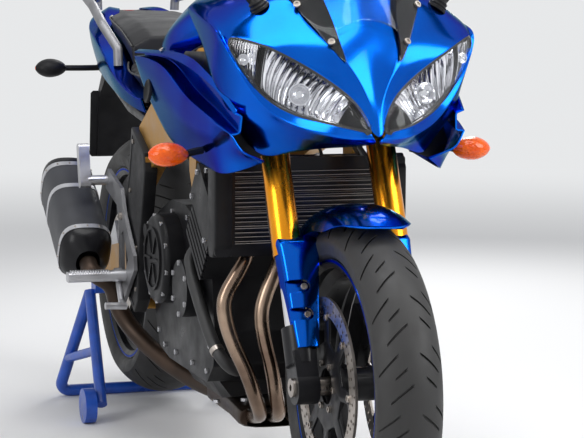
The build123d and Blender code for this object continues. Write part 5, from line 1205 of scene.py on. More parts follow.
# Tank, seats and tail: each station has half a section from the top down
TANK = (
    (-300, (0, 968), (33, 966), (67, 950), (78, 936), (73, 920)),
    (-292, (0, 1000), (67, 994), (120, 968), (124, 942), (109, 916)),
    (-240, (0, 1019), (93, 1013), (162, 962), (167, 928), (153, 892)),
    (-140, (0, 1025), (107, 1018), (183, 938), (184, 900), (169, 862)),
    (-20, (0, 1012), (102, 1005), (184, 904), (182, 862), (167, 820)),
    (90, (0, 968), (89, 960), (163, 872), (158, 826), (142, 776)),
    (160, (0, 908), (69, 900), (124, 838), (122, 798), (109, 746)),
    (171, (0, 888), (62, 880), (111, 826), (109, 790), (102, 744)),
)
TAIL = (
    (262, (104, 758), (128, 766), (161, 757), (156, 742), (150, 727)),
    (330, (106, 762), (129, 769), (165, 760), (160, 746), (153, 730)),
    (430, (104, 776), (130, 784), (168, 784), (164, 764), (156, 742)),
    (520, (100, 812), (128, 818), (169, 810), (166, 786), (155, 756)),
    (600, (96, 846), (124, 854), (168, 847), (164, 812), (150, 768)),
    (740, (92, 876), (118, 886), (159, 881), (154, 840), (140, 788)),
    (850, (72, 896), (100, 904), (147, 894), (142, 860), (128, 822)),
    (960, (40, 940), (70, 946), (113, 918), (108, 884), (96, 850)),
    (1049, (20, 935), (44, 939), (73, 922), (70, 892), (60, 860)),
)
RIDER_SEAT = (
    (176, (0, 856), (62, 850), (101, 824), (97, 786), (0, 782)),
    (232, (0, 829), (74, 827), (117, 808), (109, 778), (0, 776)),
    (290, (0, 816), (80, 814), (132, 797), (124, 768), (0, 766)),
    (390, (0, 816), (94, 816), (149, 803), (128, 774), (0, 772)),
    (446, (0, 826), (94, 827), (146, 813), (128, 790), (0, 788)),
    (472, (0, 845), (90, 842), (137, 826), (126, 798), (0, 796)),
)
PILLION_SEAT = (
    (482, (0, 886), (82, 884), (127, 861), (122, 812), (0, 810)),
    (540, (0, 904), (84, 902), (128, 882), (120, 838), (0, 836)),
    (600, (0, 917), (82, 914), (125, 896), (116, 858), (0, 856)),
    (740, (0, 929), (78, 927), (116, 914), (108, 888), (0, 886)),
    (820, (0, 936), (66, 934), (100, 920), (94, 900), (0, 898)),
    (850, (0, 934), (56, 933), (86, 922), (82, 908), (0, 906)),
)
SEAT_SHRINK = 0.985  # the cover starts this much narrower than the finished pad
FOAM_VOXEL = 0.006
FOAM_STEPS = 20
FOAM_PRESSURE, FOAM_CAP = 4.0, 5.0  # pressure, and the most that it may swell in mm
HEM, HEM_SHARE = 0.012, 0.1  # metres above its base that stay nearly still, and the share they move
FILLER_Y, FILLER_BOLT_R = -150.0, 42.0
FILLER_RING = ((0.0, 38.5), (0.0, 46.0), (4.5, 45.0), (5.5, 43.0), (5.5, 38.5), (0.0, 38.5))


def pressed(name, stations, inner, level, thick, **creases):
    """Both halves of a panel through its stations, rounded and walled inwards from its outer face."""
    piece = sheet_of(name, [[mm(x, y, z) for x, z in half] for y, *half in stations], **creases)
    two_sided(piece)
    smooth_out(piece, level)
    face_away(piece, inner)
    wall(piece, thick)
    return piece


def pad(name, stations):
    """A closed seat pad from its half sections, filled like a cushion."""
    rows = [[mm(x * SEAT_SHRINK, y, z) for x, z in half] for y, *half in stations]
    first, last = ([Vector((point.x, point.y, row[-1].z)) for point in row] for row in (rows[0], rows[-1]))
    piece = sheet_of(name, [first, *rows, last])
    two_sided(piece)
    mend(piece, 0.3)
    with editing(piece, "EDGE") as mesh:
        for edge in mesh.edges:
            edge.select_set(edge.is_boundary)
        if any(edge.is_boundary for edge in mesh.edges):
            bpy.ops.mesh.edge_face_add()
    mend(piece, 0.05)
    apply(piece, "BEVEL", width=0.007, segments=2, limit_method="ANGLE", angle_limit=math.radians(28.0))
    return fill_with_foam(piece)


def fill_with_foam(piece):
    """Swells a closed cover under pressure and keeps its result."""
    apply(piece, "REMESH", mode="VOXEL", voxel_size=FOAM_VOXEL)
    start = [vertex.co.copy() for vertex in piece.data.vertices]
    floor = min(point.z for point in start)
    cloth = piece.modifiers.new("foam", "CLOTH")
    cloth.settings.use_pressure = True
    cloth.settings.uniform_pressure_force = FOAM_PRESSURE
    cloth.settings.effector_weights.gravity = 0.0
    scene = bpy.context.scene
    for step in range(1, FOAM_STEPS + 1):
        scene.frame_set(step)
    swollen = piece.evaluated_get(bpy.context.evaluated_depsgraph_get()).data
    moved = [vertex.co.copy() for vertex in swollen.vertices]
    piece.modifiers.remove(cloth)
    scene.frame_set(1)
    for vertex, was, now in zip(piece.data.vertices, start, moved):
        step = now - was
        if step.length > FOAM_CAP / METRE:
            step *= FOAM_CAP / METRE / step.length
        vertex.co = was + (step if was.z > floor + HEM else step * HEM_SHARE)
    smooth_out(piece, 1)
    return piece


def along_panel(stations, column, way, lift, inset=0.0):
    """A line along one side of a panel, through one column of its stations."""
    return [mm(way * (half[column][0] - inset), y, half[column][1] + lift) for y, *half in stations]


class MOTORCYCLE_OT_tank(Operator):
    """Press the painted tank, and fit the beads along its lower edges and the filler's bolted ring"""

    bl_idname = "motorcycle.tank"
    bl_label = "Tank"

    def execute(self, context):
        shell = pressed("tank_shell", TANK, mm(0, -60, 880), context.scene.motorcycle_panels.smoothness, 2.5,
                        ridges={0: 0.6, 7: 0.6}, ribs={2: 0.35, 4: 0.5})
        dress(shell, "blue_paint", "fuel_tank", angle=40.0)
        beads = [tube("bead", along_panel(TANK[1:], 4, way, lift=1.0), 4.0) for way in (-1, 1)]
        dress(join("tank_lower_beads", beads), "black_plastic", angle=34.0)
        dress(lathe("filler_ring", FILLER_RING, (0.0, FILLER_Y, 1022.0), (0.0, 0.0, 1.0)), "alloy", angle=34.0)
        turns = [math.radians(turn * 360.0 / 7.0) for turn in range(7)]
        heads = [(mm(FILLER_BOLT_R * math.cos(t), FILLER_Y + FILLER_BOLT_R * math.sin(t), 1027.0), (0, 0, 1))
                 for t in turns]
        dress(set_down("filler_bolts", bolt(2.6, 2.2), heads), "steel")
        return {"FINISHED"}


class MOTORCYCLE_OT_tail(Operator):
    """Press the painted tail panels and the black deck between them"""

    bl_idname = "motorcycle.tail"
    bl_label = "Tail Panels"

    def execute(self, context):
        shell = pressed("tail_panels", TAIL, mm(0, 700, 800), context.scene.motorcycle_panels.smoothness, 3.0,
                        ridges={0: 1.0, 8: 0.8}, ribs={1: 0.8, 2: 0.55, 4: 0.7})
        dress(shell, "blue_paint", "tail_cowl", angle=36.0)
        inner = [(y, (0, z - 6.0), (x * 0.5, z - 5.0), (x + 10.0, z - 1.5)) for y, (x, z), *_ in TAIL]
        dress(pressed("tail_deck", inner, mm(0, 700, 600), 2, 3.0), "black_plastic", angle=34.0)
        return {"FINISHED"}


class MOTORCYCLE_OT_seats(Operator):
    """Stuff and stitch the rider's seat and the pillion's pad"""

    bl_idname = "motorcycle.seats"
    bl_label = "Seats"

    def execute(self, context):
        for name, node, stations in (("rider_seat_cover", "rider_seat", RIDER_SEAT),
                                     ("pillion_seat_cover", "pillion_seat", PILLION_SEAT)):
            cover = pad(name, stations)
            dress(cover, "seat", node, angle=60.0)
            piping = [tube("piping", along_panel(stations, 2, way, lift=1.0, inset=1.0), 2.0, sides=8)
                      for way in (-1, 1)]
            dress(join(name.replace("cover", "piping"), piping), "rubber", slot="seat", angle=34.0)
        return {"FINISHED"}


# Exhaust
CAN_FROM, CAN_TO = Vector((-256.0, 362.0, 389.0)), Vector((-248.0, 665.0, 560.0))
CAN_SIDES = 48
STRAPS = (47.0, 205.0, 292.0)  # distances along the silencer
STRAP_EDGE = ((-7, 58.0, 67.0, 3.2), (-7, 58.9, 67.9, 3.2), (7, 58.9, 67.9, 3.2), (7, 58.0, 67.0, 3.2))
RIVETS = 14
RIVET_HEAD, RIVET_ROOT = (58.7, 67.7, 3.2), (30.0, 38.0, 2.4)  # half width, half depth, how square
CAN_RINGS = (  # distance along the silencer, half width, half depth, how square
    (0, 27, 32, 2.2), (3, 31, 36, 2.2), (16, 48, 55, 2.5), (30, 55.5, 64, 2.9), (41, 57.6, 66.6, 3.1),
)
CAN_BODY = ((44, 58, 67, 3.2), (50, 58, 67, 3.2), (170, 58, 67, 3.2), (294, 58, 67, 3.2), (300, 58, 67, 3.2))
CAN_END = ((300, 57, 66, 3.1), (309, 57, 66, 3.1), (322, 54, 63, 2.9), (330, 47, 56, 2.6), (331, 27, 27, 2.0),
           (354, 26, 26, 2.0), (356, 25, 25, 2.0), (356, 22, 22, 2.0), (300, 22, 22, 2.0))


def can_point(along, wide, deep, square, turn):
    """A point on the silencer's skin, its section a rounded rectangle."""
    way = (CAN_TO - CAN_FROM).normalized()
    across = Vector((1.0, 0.0, 0.0))
    up = way.cross(across).normalized() * -1.0
    across = up.cross(way).normalized()
    side, rise = squared(turn, square)
    return mm(*(CAN_FROM + way * along + across * (side * wide) + up * (rise * deep)))


def can_skin(name, rings):
    rows = [[can_point(*row, 2.0 * math.pi * step / CAN_SIDES) for step in range(CAN_SIDES + 1)] for row in rings]
    piece = sheet_of(name, rows)
    mend(piece, 0.02)
    way = (CAN_TO - CAN_FROM).normalized()
    middle = CAN_FROM + way * (rings[0][0] + rings[-1][0]) / 2.0
    face_away(piece, mm(*middle))
    soften(piece, 28.0)
    return piece


class MOTORCYCLE_OT_silencer(Operator):
    """Roll the silencer's sleeve, close it with its two caps and strap it on"""

    bl_idname = "motorcycle.silencer"
    bl_label = "Silencer"

    def execute(self, context):
        for name, rings, thick, finish, nodes in (
            ("silencer_sleeve", CAN_BODY, 1.5, "silencer", ["muffler"]),
            ("silencer_front_cap", CAN_RINGS, 2.0, "black_paint", []),
        ):
            skin = can_skin(name, rings)
            wall(skin, thick)
            dress(skin, finish, *nodes, angle=28.0)
        end = can_skin("silencer_end_cap", CAN_END)
        mend(end, 0.02)
        dress(end, "black_paint", angle=28.0)
        bands = [can_skin("band", [(along + shift, *size) for shift, *size in STRAP_EDGE]) for along in STRAPS]
        dress(join("silencer_bands", bands), "alloy", angle=28.0)
        rivets = []
        for along in (STRAPS[0], STRAPS[-1]):
            for turn in (2.0 * math.pi * (count + 0.5) / RIVETS for count in range(RIVETS)):
                spot = can_point(along, *RIVET_HEAD, turn)
                rivets.append((spot, spot - can_point(along, *RIVET_ROOT, turn)))
        dress(set_down("silencer_rivets", bolt(2.2, 1.4), rivets), "steel")
        return {"FINISHED"}


# Engine and frame
PIVOT_PLATE = ((117, 612), (128, 652), (236, 699), (264, 601), (303, 521), (295, 430), (278, 328), (215, 296),
               (181, 328), (177, 429), (147, 518))
PLATE_SCREWS = ((222, 668), (250, 560), (282, 470), (262, 350), (200, 350), (196, 440))
BANK_LEAN = math.radians(40.0)
CASE_BOLTS = ((-262, 300), (-240, 246), (-130, 244), (0, 244), (90, 246), (140, 270), (-276, 470), (-230, 500),
              (-90, 536), (30, 536), (130, 500))
BANK_BOLTS = ((177.6, -60, 205), (177.6, 60, 205), (177.6, -66, 270), (177.6, 62, 270), (169.6, -40, 300),
              (169.6, 36, 300))
COVER_BOLTS = (  # middle, radius of the circle, how many, x, side, first angle
    ((18, 440), 88.0, 10, -186.0, -1, 12.0), ((-150, 400), 52.0, 6, -180.6, -1, 30.0),
    ((-150, 400), 78.0, 8, 190.0, 1, 22.5), ((-8, 290), 27.0, 4, 170.0, 1, 45.0),
)
HEAD_BOLTS_X, PAN_BOLTS_X = (-150.0, -50.0, 50.0, 150.0), (-118.0, -60.0, 0.0, 60.0, 118.0)
PLUGS_X = (-126.0, -42.0, 42.0, 126.0)
PLUG_CAP = ((0, 0.0), (0, 11.0), (14, 11.5), (17, 9.0), (20, 9.0), (23, 5.0), (24, 0.0))
RADIATOR_SIDE = ((-430, 498), (-446, 520), (-446, 664), (-428, 690), (-396, 684), (-390, 520), (-404, 496))
FIN_SIZE = (0.300, 0.0034, 0.0011)
FIN_PITCH = 0.0041
FINS = 40
TREAD = ((236, 384), (239, 387.6), (261, 387.6), (264, 384), (264, 381), (236, 381))
TREAD_FROM, TREAD_RIBS, TREAD_STEP, TREAD_WIDE = 236.0, 15, 5.7, 2.6
HANGER_BOLTS = ((285, 500), (278, 335), (426, 566))


def by_side(x_low, x_high, way):
    """Puts a side-view outline between two distances from the middle, on the rider's left or right."""
    def place(y, z, share):
        return mm(way * (x_low + (x_high - x_low) * share), y, z)
    return place


class MOTORCYCLE_OT_frame_guards(Operator):
    """Mould the black guards that wrap the pivot plates, with their screws"""

    bl_idname = "motorcycle.frame_guards"
    bl_label = "Frame Guards"

    def execute(self, context):
        guards = []
        for way in (-1, 1):
            guard = slab("guard", PIVOT_PLATE, 0.0, 1.0, by_side(158.6, 187.2, way))
            mend(guard)
            round_edges(guard, 3.0, segments=3)
            with editing(guard, "FACE") as mesh:
                pick(mesh, mesh.faces, lambda f: f.normal.x * way > 0.99 and f.calc_area() > 0.01)
                bpy.ops.mesh.inset(thickness=0.009)
                bpy.ops.mesh.inset(thickness=0.002, depth=-0.0016)
            guards.append(guard)
        dress(join("frame_guards", guards), "black_plastic", angle=34.0)
        dress(set_down("frame_guard_screws", bolt(5.0, 3.0), both_sides(185.6, PLATE_SCREWS)), "steel")
        return {"FINISHED"}


def round_places(centre, radius, count, x, way, first):
    """Places on a circle in side view, facing out to one side."""
    turns = [math.radians(first + 360.0 * step / count) for step in range(count)]
    return [(mm(x, centre[0] + radius * math.cos(t), centre[1] + radius * math.sin(t)), (way, 0, 0)) for t in turns]


def on_bank(x, back, up):
    """A point of the cylinder bank: back from its middle plane and up the bores from the crank."""
    return (x, -150.0 + back * math.cos(BANK_LEAN) - up * math.sin(BANK_LEAN),
            400.0 + back * math.sin(BANK_LEAN) + up * math.cos(BANK_LEAN))


class MOTORCYCLE_OT_engine_fittings(Operator):
    """Bolt down the engine's covers and plug in its leads"""

    bl_idname = "motorcycle.engine_fittings"
    bl_label = "Engine Fittings"

    def execute(self, context):
        out = Vector((0.0, -math.sin(BANK_LEAN), math.cos(BANK_LEAN)))
        places = [place for circle in COVER_BOLTS for place in round_places(*circle)]
        for way in (-1, 1):
            places += [(mm(way * 147.6, y, z), (way, 0, 0)) for y, z in CASE_BOLTS]
            places += [(mm(*on_bank(way * x, back, up)), (way, 0, 0)) for x, back, up in BANK_BOLTS]
        dress(set_down("engine_bolts", bolt(5.6, 5.0), places), "alloy")
        covers = [(mm(*on_bank(x, back, 326.0)), out) for x in HEAD_BOLTS_X for back in (-44.0, 40.0)]
        covers += [(mm(x, -200.0, 179.0), (0, 0, -1)) for x in PAN_BOLTS_X]
        dress(set_down("head_bolts", bolt(7.0, 6.0, "nut"), covers), "alloy")
        leads = []
        for x in PLUGS_X:
            leads.append(lathe("cap", PLUG_CAP, on_bank(x, -2.0, 333.0), out, steps=20))
            x, y, z = on_bank(x, -2.0, 356.0)
            leads.append(tube("lead", [mm(x, y, z), mm(x, y + 2, z + 22), mm(x * 0.8, y + 40, z + 40),
                                       mm(x * 0.5, y + 110, z + 36)], 3.5, sides=8))
        dress(join("plug_leads", leads), "rubber", angle=40.0)
        return {"FINISHED"}


class MOTORCYCLE_OT_radiator_core(Operator):
    """Stack the radiator's fins and put its black side panels on"""

    bl_idname = "motorcycle.radiator_core"
    bl_label = "Radiator Core"

    def execute(self, context):
        bpy.ops.mesh.primitive_cube_add(size=1.0, location=mm(0.0, -439.6, 512.0))
        fin = named("radiator_fins")
        fin.scale = FIN_SIZE
        settle(fin)
        with editing(fin, "EDGE", whole=True):
            bpy.ops.mesh.subdivide(number_cuts=1)
        apply(fin, "ARRAY", count=FINS, use_relative_offset=False, use_constant_offset=True,
              constant_offset_displace=(0.0, 0.0, FIN_PITCH))
        dress(fin, "core", slot="dark_alloy")
        sides = []
        for way in (-1, 1):
            side = slab("side", RADIATOR_SIDE, 0.0, 1.0, by_side(157.0, 191.5, way))
            mend(side)
            round_edges(side, 3.5, segments=3)
            sides.append(side)
        dress(join("radiator_side_panels", sides), "black_plastic", angle=36.0)
        return {"FINISHED"}


# Footrests and small fittings
class MOTORCYCLE_OT_footrest_treads(Operator):
    """Cut the ribs of the footrests and fit their bolts"""

    bl_idname = "motorcycle.footrest_treads"
    bl_label = "Footrest Treads"

    def execute(self, context):
        ribs = []
        for way in (-1, 1):
            for count in range(TREAD_RIBS):
                x = TREAD_FROM + count * TREAD_STEP
                ribs.append(slab("rib", TREAD, 0.0, 1.0, by_side(x, x + TREAD_WIDE, way)))
                mend(ribs[-1])
        rib = join("footrest_ribs", ribs)
        round_edges(rib, 0.5, segments=1)
        dress(rib, "alloy", angle=30.0)
        dress(set_down("hanger_bolts", bolt(8.0, 5.0), both_sides(198.0, HANGER_BOLTS)), "steel")
        return {"FINISHED"}


# Cockpit
MIRROR = (300.0, -617.5, 1122.0)
MIRROR_HALF = (74.0, 45.0)
MIRROR_TIP = math.radians(8.0)
MIRROR_RINGS = (  # share of the half width and half height, depth: the back, the rim and the glass's edge
    (0.0, 0.0, -34.0), (0.45, 0.42, -33.0), (0.78, 0.74, -27.0), (0.95, 0.93, -14.0), (1.0, 1.0, -2.0),
    (0.985, 0.975, 0.0), (0.93, 0.89, 0.0), (0.92, 0.88, 3.0),
)
MIRROR_STEM = ((170.0, -652.0, 972.0), (204.0, -650.0, 1010.0), (238.0, -646.0, 1060.0), (262.0, -640.0, 1094.0))
BOOT = ((0, 0.0), (0, 19.0), (4, 19.0), (6, 16.5), (9, 17.5), (12, 14.5), (16, 15.5), (19, 12.0), (26, 9.0), (26, 0.0))


def mirror_point(way, wide, high, deep, turn):
    """A point of a mirror's housing by its ring and its turn about the glass's middle."""
    side, rise = squared(turn, 3.0)
    x, z = side * wide * MIRROR_HALF[0], rise * high * MIRROR_HALF[1]
    return mm(way * (MIRROR[0] + x * math.cos(MIRROR_TIP) - z * math.sin(MIRROR_TIP)), MIRROR[1] + deep,
              MIRROR[2] + x * math.sin(MIRROR_TIP) + z * math.cos(MIRROR_TIP))


class MOTORCYCLE_OT_mirrors(Operator):
    """Shape the mirror housings, their glass, stalks and boots"""

    bl_idname = "motorcycle.mirrors"
    bl_label = "Mirrors"

    def execute(self, context):
        shells, glasses, stems = [], [], []
        for way in (-1, 1):
            rows = [[mirror_point(way, *size, 2.0 * math.pi * step / 32.0) for step in range(33)]
                    for size in MIRROR_RINGS]
            shell = sheet_of("shell", rows)
            mend(shell, 0.02)
            face_away(shell, mm(way * MIRROR[0], -625.0, MIRROR[2]))
            smooth_out(shell, 1)
            shells.append(shell)
            middle = mm(way * MIRROR[0], -613.5, MIRROR[2])
            glass = sheet_of("glass", [rows[-1], [point.lerp(middle, 0.999) for point in rows[-1]]])
            mend(glass, 0.2)
            face_away(glass, mm(way * MIRROR[0], -700.0, MIRROR[2]))
            glasses.append(glass)
            stems.append(tube("stem", [mm(way * x, y, z) for x, y, z in MIRROR_STEM], 8.0, sides=16))
            stems.append(lathe("boot", BOOT, (way * 166.0, -653.0, 970.0), (way * 0.55, 0.02, 0.83), steps=32))
        dress(join("mirror_shells", shells), "black_plastic", "mirrors", angle=50.0)
        dress(join("mirror_glasses", glasses), "reflector")
        dress(join("mirror_stems", stems), "black_plastic", angle=40.0)
        return {"FINISHED"}


DASH = (0.0, -588.0, 1010.0)
DASH_TILT = (0.82, 0.57)
DIAL_X = -52.0
DIAL_FROM, DIAL_SWEEP, DIAL_STEPS = 225.0, 270.0, 24
MARK_LONG, MARK_SHORT, MARK_END = (26.5, 1.0), (31.0, 0.5), 35.5  # inner radius and half width, outer radius
NEEDLE_AT, NEEDLE = 205.0, ((-8, -1.6), (-8, 1.6), (33, 0.0))
DISPLAY = ((3, -29), (89, -29), (89, 29), (3, 29))
BEZEL = ((4, 33), (46, 33), (88, 33), (92, 30), (92, 0), (92, -30), (88, -33), (46, -33), (4, -33), (0, -30), (0, 0),
         (0, 30))


def on_dash(a, b, lift):
    """A point of the instrument panel: across it, up it and out of its face."""
    size = math.hypot(*DASH_TILT)
    out = Vector((0.0, DASH_TILT[0] / size, DASH_TILT[1] / size))
    up = Vector((0.0, -DASH_TILT[1] / size, DASH_TILT[0] / size))
    return mm(*DASH) + Vector((a, 0, 0)) / METRE + up * b / METRE + out * lift / METRE


def on_dial(turn, corners):
    """An outline on the dial from (radius, sideways) pairs, turned about its middle."""
    c, s = math.cos(turn), math.sin(turn)
    return [(DIAL_X + c * radius + s * side, s * radius - c * side) for radius, side in corners]


def dial_circle(radius, count):
    return [on_dial(2.0 * math.pi * step / count, [(radius, 0.0)])[0] for step in range(count)]


class MOTORCYCLE_OT_instruments(Operator):
    """Fit the rev counter's dial, its needle, the display and the panel's bezel"""

    bl_idname = "motorcycle.instruments"
    bl_label = "Instruments"

    def execute(self, context):
        dial = slab("rev_counter_dial", dial_circle(38.6, 48), -3.2, -2.2, on_dash)
        mend(dial)
        dress(dial, "dial", slot="plate")
        marks = []
        for step in range(DIAL_STEPS + 1):
            start, half = MARK_SHORT if step % 2 else MARK_LONG
            outline = on_dial(math.radians(DIAL_FROM - DIAL_SWEEP * step / DIAL_STEPS),
                              ((start, -half), (start, half), (MARK_END, half), (MARK_END, -half)))
            marks.append(slab("mark", outline, -2.2, -1.9, on_dash))
        mark = join("rev_counter_marks", marks)
        mend(mark, 0.001)
        dress(mark, "black_paint", slot="black_plastic")
        needle = slab("rev_counter_needle", on_dial(math.radians(NEEDLE_AT), NEEDLE), -1.4, -0.8, on_dash)
        mend(needle, 0.001)
        dress(needle, "red_lens")
        rims = [tube("rim", [on_dash(a, b, lift) for a, b in line], radius, sides=8, closed=True)
                for line, lift, radius in ((dial_circle(38.0, 32), 0.4, 1.6), (BEZEL, 0.2, 1.3))]
        dress(join("instrument_bezels", rims), "chrome", angle=34.0)
        screen = slab("display", DISPLAY, -3.0, -2.0, on_dash)
        mend(screen)
        dress(screen, "display", slot="plate")
        return {"FINISHED"}


def on_bar(along, sideways, around=0.0, out=0.0):
    """A point by the handlebar's end, this far in along it."""
    inner, outer = on_fork(185.0, 62.0, 858.0), on_fork(378.5, 112.0, 824.0)
    way = (outer - inner).normalized()
    first = way.orthogonal().normalized()
    second = way.cross(first)
    turn = math.radians(around)
    spot = outer - way * along / METRE + (first * math.cos(turn) + second * math.sin(turn)) * out / METRE
    return Vector((sideways * spot.x, spot.y, spot.z))


GRIP_RIB = ((0.0, 16.6), (1.0, 17.4), (3.2, 17.4), (4.2, 16.6))
GRIP_RIBS, RIB_PITCH = 23, 4.8
LAMP_RIBS = 7
BAR_END = ((-1.0, 0.2), (-1.0, 11.0), (0.5, 14.5), (4.0, 15.2), (7.0, 14.0), (7.5, 11.5))


def bar_skin(name, profile, way):
    """A turned skin round the handlebar's end from its (distance in, radius) pairs."""
    return sheet_of(name, [[on_bar(along, way, 360.0 * step / 28.0, radius) for step in range(29)]
                           for along, radius in profile])


class MOTORCYCLE_OT_grips(Operator):
    """Rib the rubber grips and fit the bar ends"""

    bl_idname = "motorcycle.grips"
    bl_label = "Grips"

    def execute(self, context):
        grips, ends = [], []
        profile = [(8.0 + count * RIB_PITCH + offset, radius) for count in range(GRIP_RIBS)
                   for offset, radius in GRIP_RIB]
        for way in (-1, 1):
            grip = bar_skin("grip", profile, way)
            mend(grip, 0.01)
            face_away(grip, on_bar(60.0, way))
            wall(grip, 1.0)
            grips.append(grip)
            cap = bar_skin("end", BAR_END, way)
            mend(cap, 0.05)
            face_away(cap, on_bar(8.0, way))
            ends.append(cap)
        dress(join("grip_ribs", grips), "rubber", body="fork", angle=30.0)
        dress(join("bar_ends", ends), "alloy", body="fork", angle=30.0)
        return {"FINISHED"}


class MOTORCYCLE_OT_rear_end(Operator):
    """Fit the ribs of the tail lamp's red lens"""

    bl_idname = "motorcycle.rear_end"
    bl_label = "Rear End"

    def execute(self, context):
        low, high = (Vector(corner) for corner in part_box("tail_lamp"))
        bars = []
        for step in range(LAMP_RIBS):
            x = low.x + (high.x - low.x) * (step + 0.5) / LAMP_RIBS
            bars.append(tube("bar", [Vector((x, high.y - 0.0008, low.z + 0.006)),
                                     Vector((x, high.y + 0.0003, (low.z + high.z) / 2.0)),
                                     Vector((x, high.y - 0.0008, high.z - 0.006))], 1.6, sides=8))
        dress(join("tail_lamp_ribs", bars), "red_lens", angle=34.0)
        return {"FINISHED"}


# Exhaust pipes and hose, right side; the left pipes mirror them
HEADER_RUNS = (
    ((-104, -368, 524), (-108, -392, 502), (-130, -396, 464), (-158, -396, 420), (-160, -396, 388),
     (-146, -396, 335), (-112, -396, 266), (-92, -384, 216), (-72, -352, 178), (-60, -300, 160), (-58, -236, 150)),
    ((-38, -368, 524), (-42, -390, 502), (-56, -394, 462), (-76, -396, 420), (-86, -396, 380), (-78, -396, 327),
     (-62, -396, 272), (-50, -384, 216), (-34, -352, 176), (-22, -300, 160), (-20, -236, 150)),
)
LINK_RUN = ((-40, 60, 146), (-62, 140, 148), (-112, 234, 182), (-160, 318, 232), (-194, 344, 290), (-204, 340, 340),
            (-240, 334, 362), (-256, 336, 374), (-256, 350, 382), (-256, 362, 389))
HOSE_RUN = ((-118, -140, 505), (-160, -154, 474), (-170, -184, 442), (-168, -230, 402), (-163, -276, 352),
            (-157, -316, 312), (-148, -346, 286), (-122, -340, 262), (-100, -300, 256))
HEADER_R, LINK_R, HOSE_R = 14.5, 20.0, 12.5
CLIP_AFTER = 5  # the point of the hose's run that its clip comes after
PORT_YZ = (-352.0, 531.0)
PORT_FLANGE = ((0, 0.0), (0, 26.0), (7, 26.0), (7, 19.0), (12, 19.0), (12, 0.0))
HOSE_CLIP = ((-5, 12.6), (-5, 14.0), (5, 14.0), (5, 12.6), (-5, 12.6))
COLLECTOR = (  # y, middle, half width, lower and upper side
    (-252, 0.0, 84, 128, 172), (-236, 0.0, 86, 124, 176), (-120, 0.0, 72, 121, 174), (60, -20.0, 46, 122, 171),
    (72, -20.0, 30, 128, 165),
)


def collector_ring(y, middle, half, low, high):
    """One ring of the collector's rounded box."""
    ring = [squared(2.0 * math.pi * step / 24.0, 3.4) for step in range(25)]
    return [mm(middle + side * half, y, (low + high) / 2.0 + rise * (high - low) / 2.0) for side, rise in ring]


class MOTORCYCLE_OT_exhaust(Operator):
    """Bend the four header pipes, weld the collector, run the link pipe to the silencer and lay the coolant hose"""

    bl_idname = "motorcycle.exhaust"
    bl_label = "Exhaust"

    def execute(self, context):
        pipes, rings, nuts = [], [], []
        out = Vector((0.0, -math.cos(BANK_LEAN), -math.sin(BANK_LEAN)))
        for run in HEADER_RUNS:
            for way in (1, -1):
                pipes.append(tube("header", [mm(way * x, y, z) for x, y, z in run], HEADER_R, sides=24))
                port = (way * run[0][0], *PORT_YZ)
                rings.append(lathe("flange", PORT_FLANGE, port, tuple(out), steps=32))
                nuts += [(mm(port[0] + side * 29.0, port[1] - 6.0, port[2] - 5.0), out) for side in (-1, 1)]
        dress(join("header_pipes", pipes), "header_steel", "exhaust_headers", angle=40.0)
        dress(join("port_flanges", rings), "cast_grey", slot="alloy", angle=30.0)
        dress(set_down("port_nuts", bolt(6.0, 8.0, "nut"), nuts), "steel")
        link = tube("link_pipe", [mm(*point) for point in LINK_RUN], LINK_R, sides=28)
        box = sheet_of("collector", [collector_ring(*section) for section in COLLECTOR])
        with editing(box, "EDGE") as mesh:
            for edge in mesh.edges:
                edge.select_set(edge.is_boundary and abs(edge.verts[0].co.y - edge.verts[1].co.y) < 1e-6)
            bpy.ops.mesh.fill()
        mend(box, 0.05)
        round_edges(box, 4.0, segments=3)
        # The collector and link pipe wear link_steel, whose dark brown is painted shade
        dress(join("collector_and_link", [link, box]), "link_steel", slot="header_steel", angle=36.0)
        hose = tube("coolant_hose_run", [mm(*point) for point in HOSE_RUN], HOSE_R, sides=24)
        dress(hose, "rubber", "coolant_hose", angle=34.0)
        start, after = Vector(HOSE_RUN[CLIP_AFTER]), Vector(HOSE_RUN[CLIP_AFTER + 1])
        clip = lathe("hose_clips", HOSE_CLIP, tuple(start.lerp(after, 0.4)), tuple(after - start), steps=32)
        dress(clip, "steel", angle=34.0)
        return {"FINISHED"}


VENT = (-98.0, 795.0)
VENT_DISH = ((-2, 0.0), (-2, 15.0), (1.4, 21.0), (2.4, 22.5), (1.2, 24.0), (-4, 24.0), (-4, 0.0))
GUSSET = ((-250, 866), (-290, 882), (-470, 888), (-510, 862), (-470, 838), (-360, 852))
LINER = ((140, 706), (200, 690), (216, 722), (206, 756), (180, 768), (140, 768))
HOLDER = ((-86, 6), (-80, 0), (80, 0), (86, 6), (86, 163), (80, 169), (-80, 169), (-86, 163))


def on_plate(a, b, level):
    """A point of the number plate's holder: across it, up it and back from its face."""
    up, back = Vector((0.0, -18.0, 170.0)).normalized(), Vector((0.0, 170.0, 18.0)).normalized()
    return mm(a, 1108, 560) + (up * b + back * level) / METRE


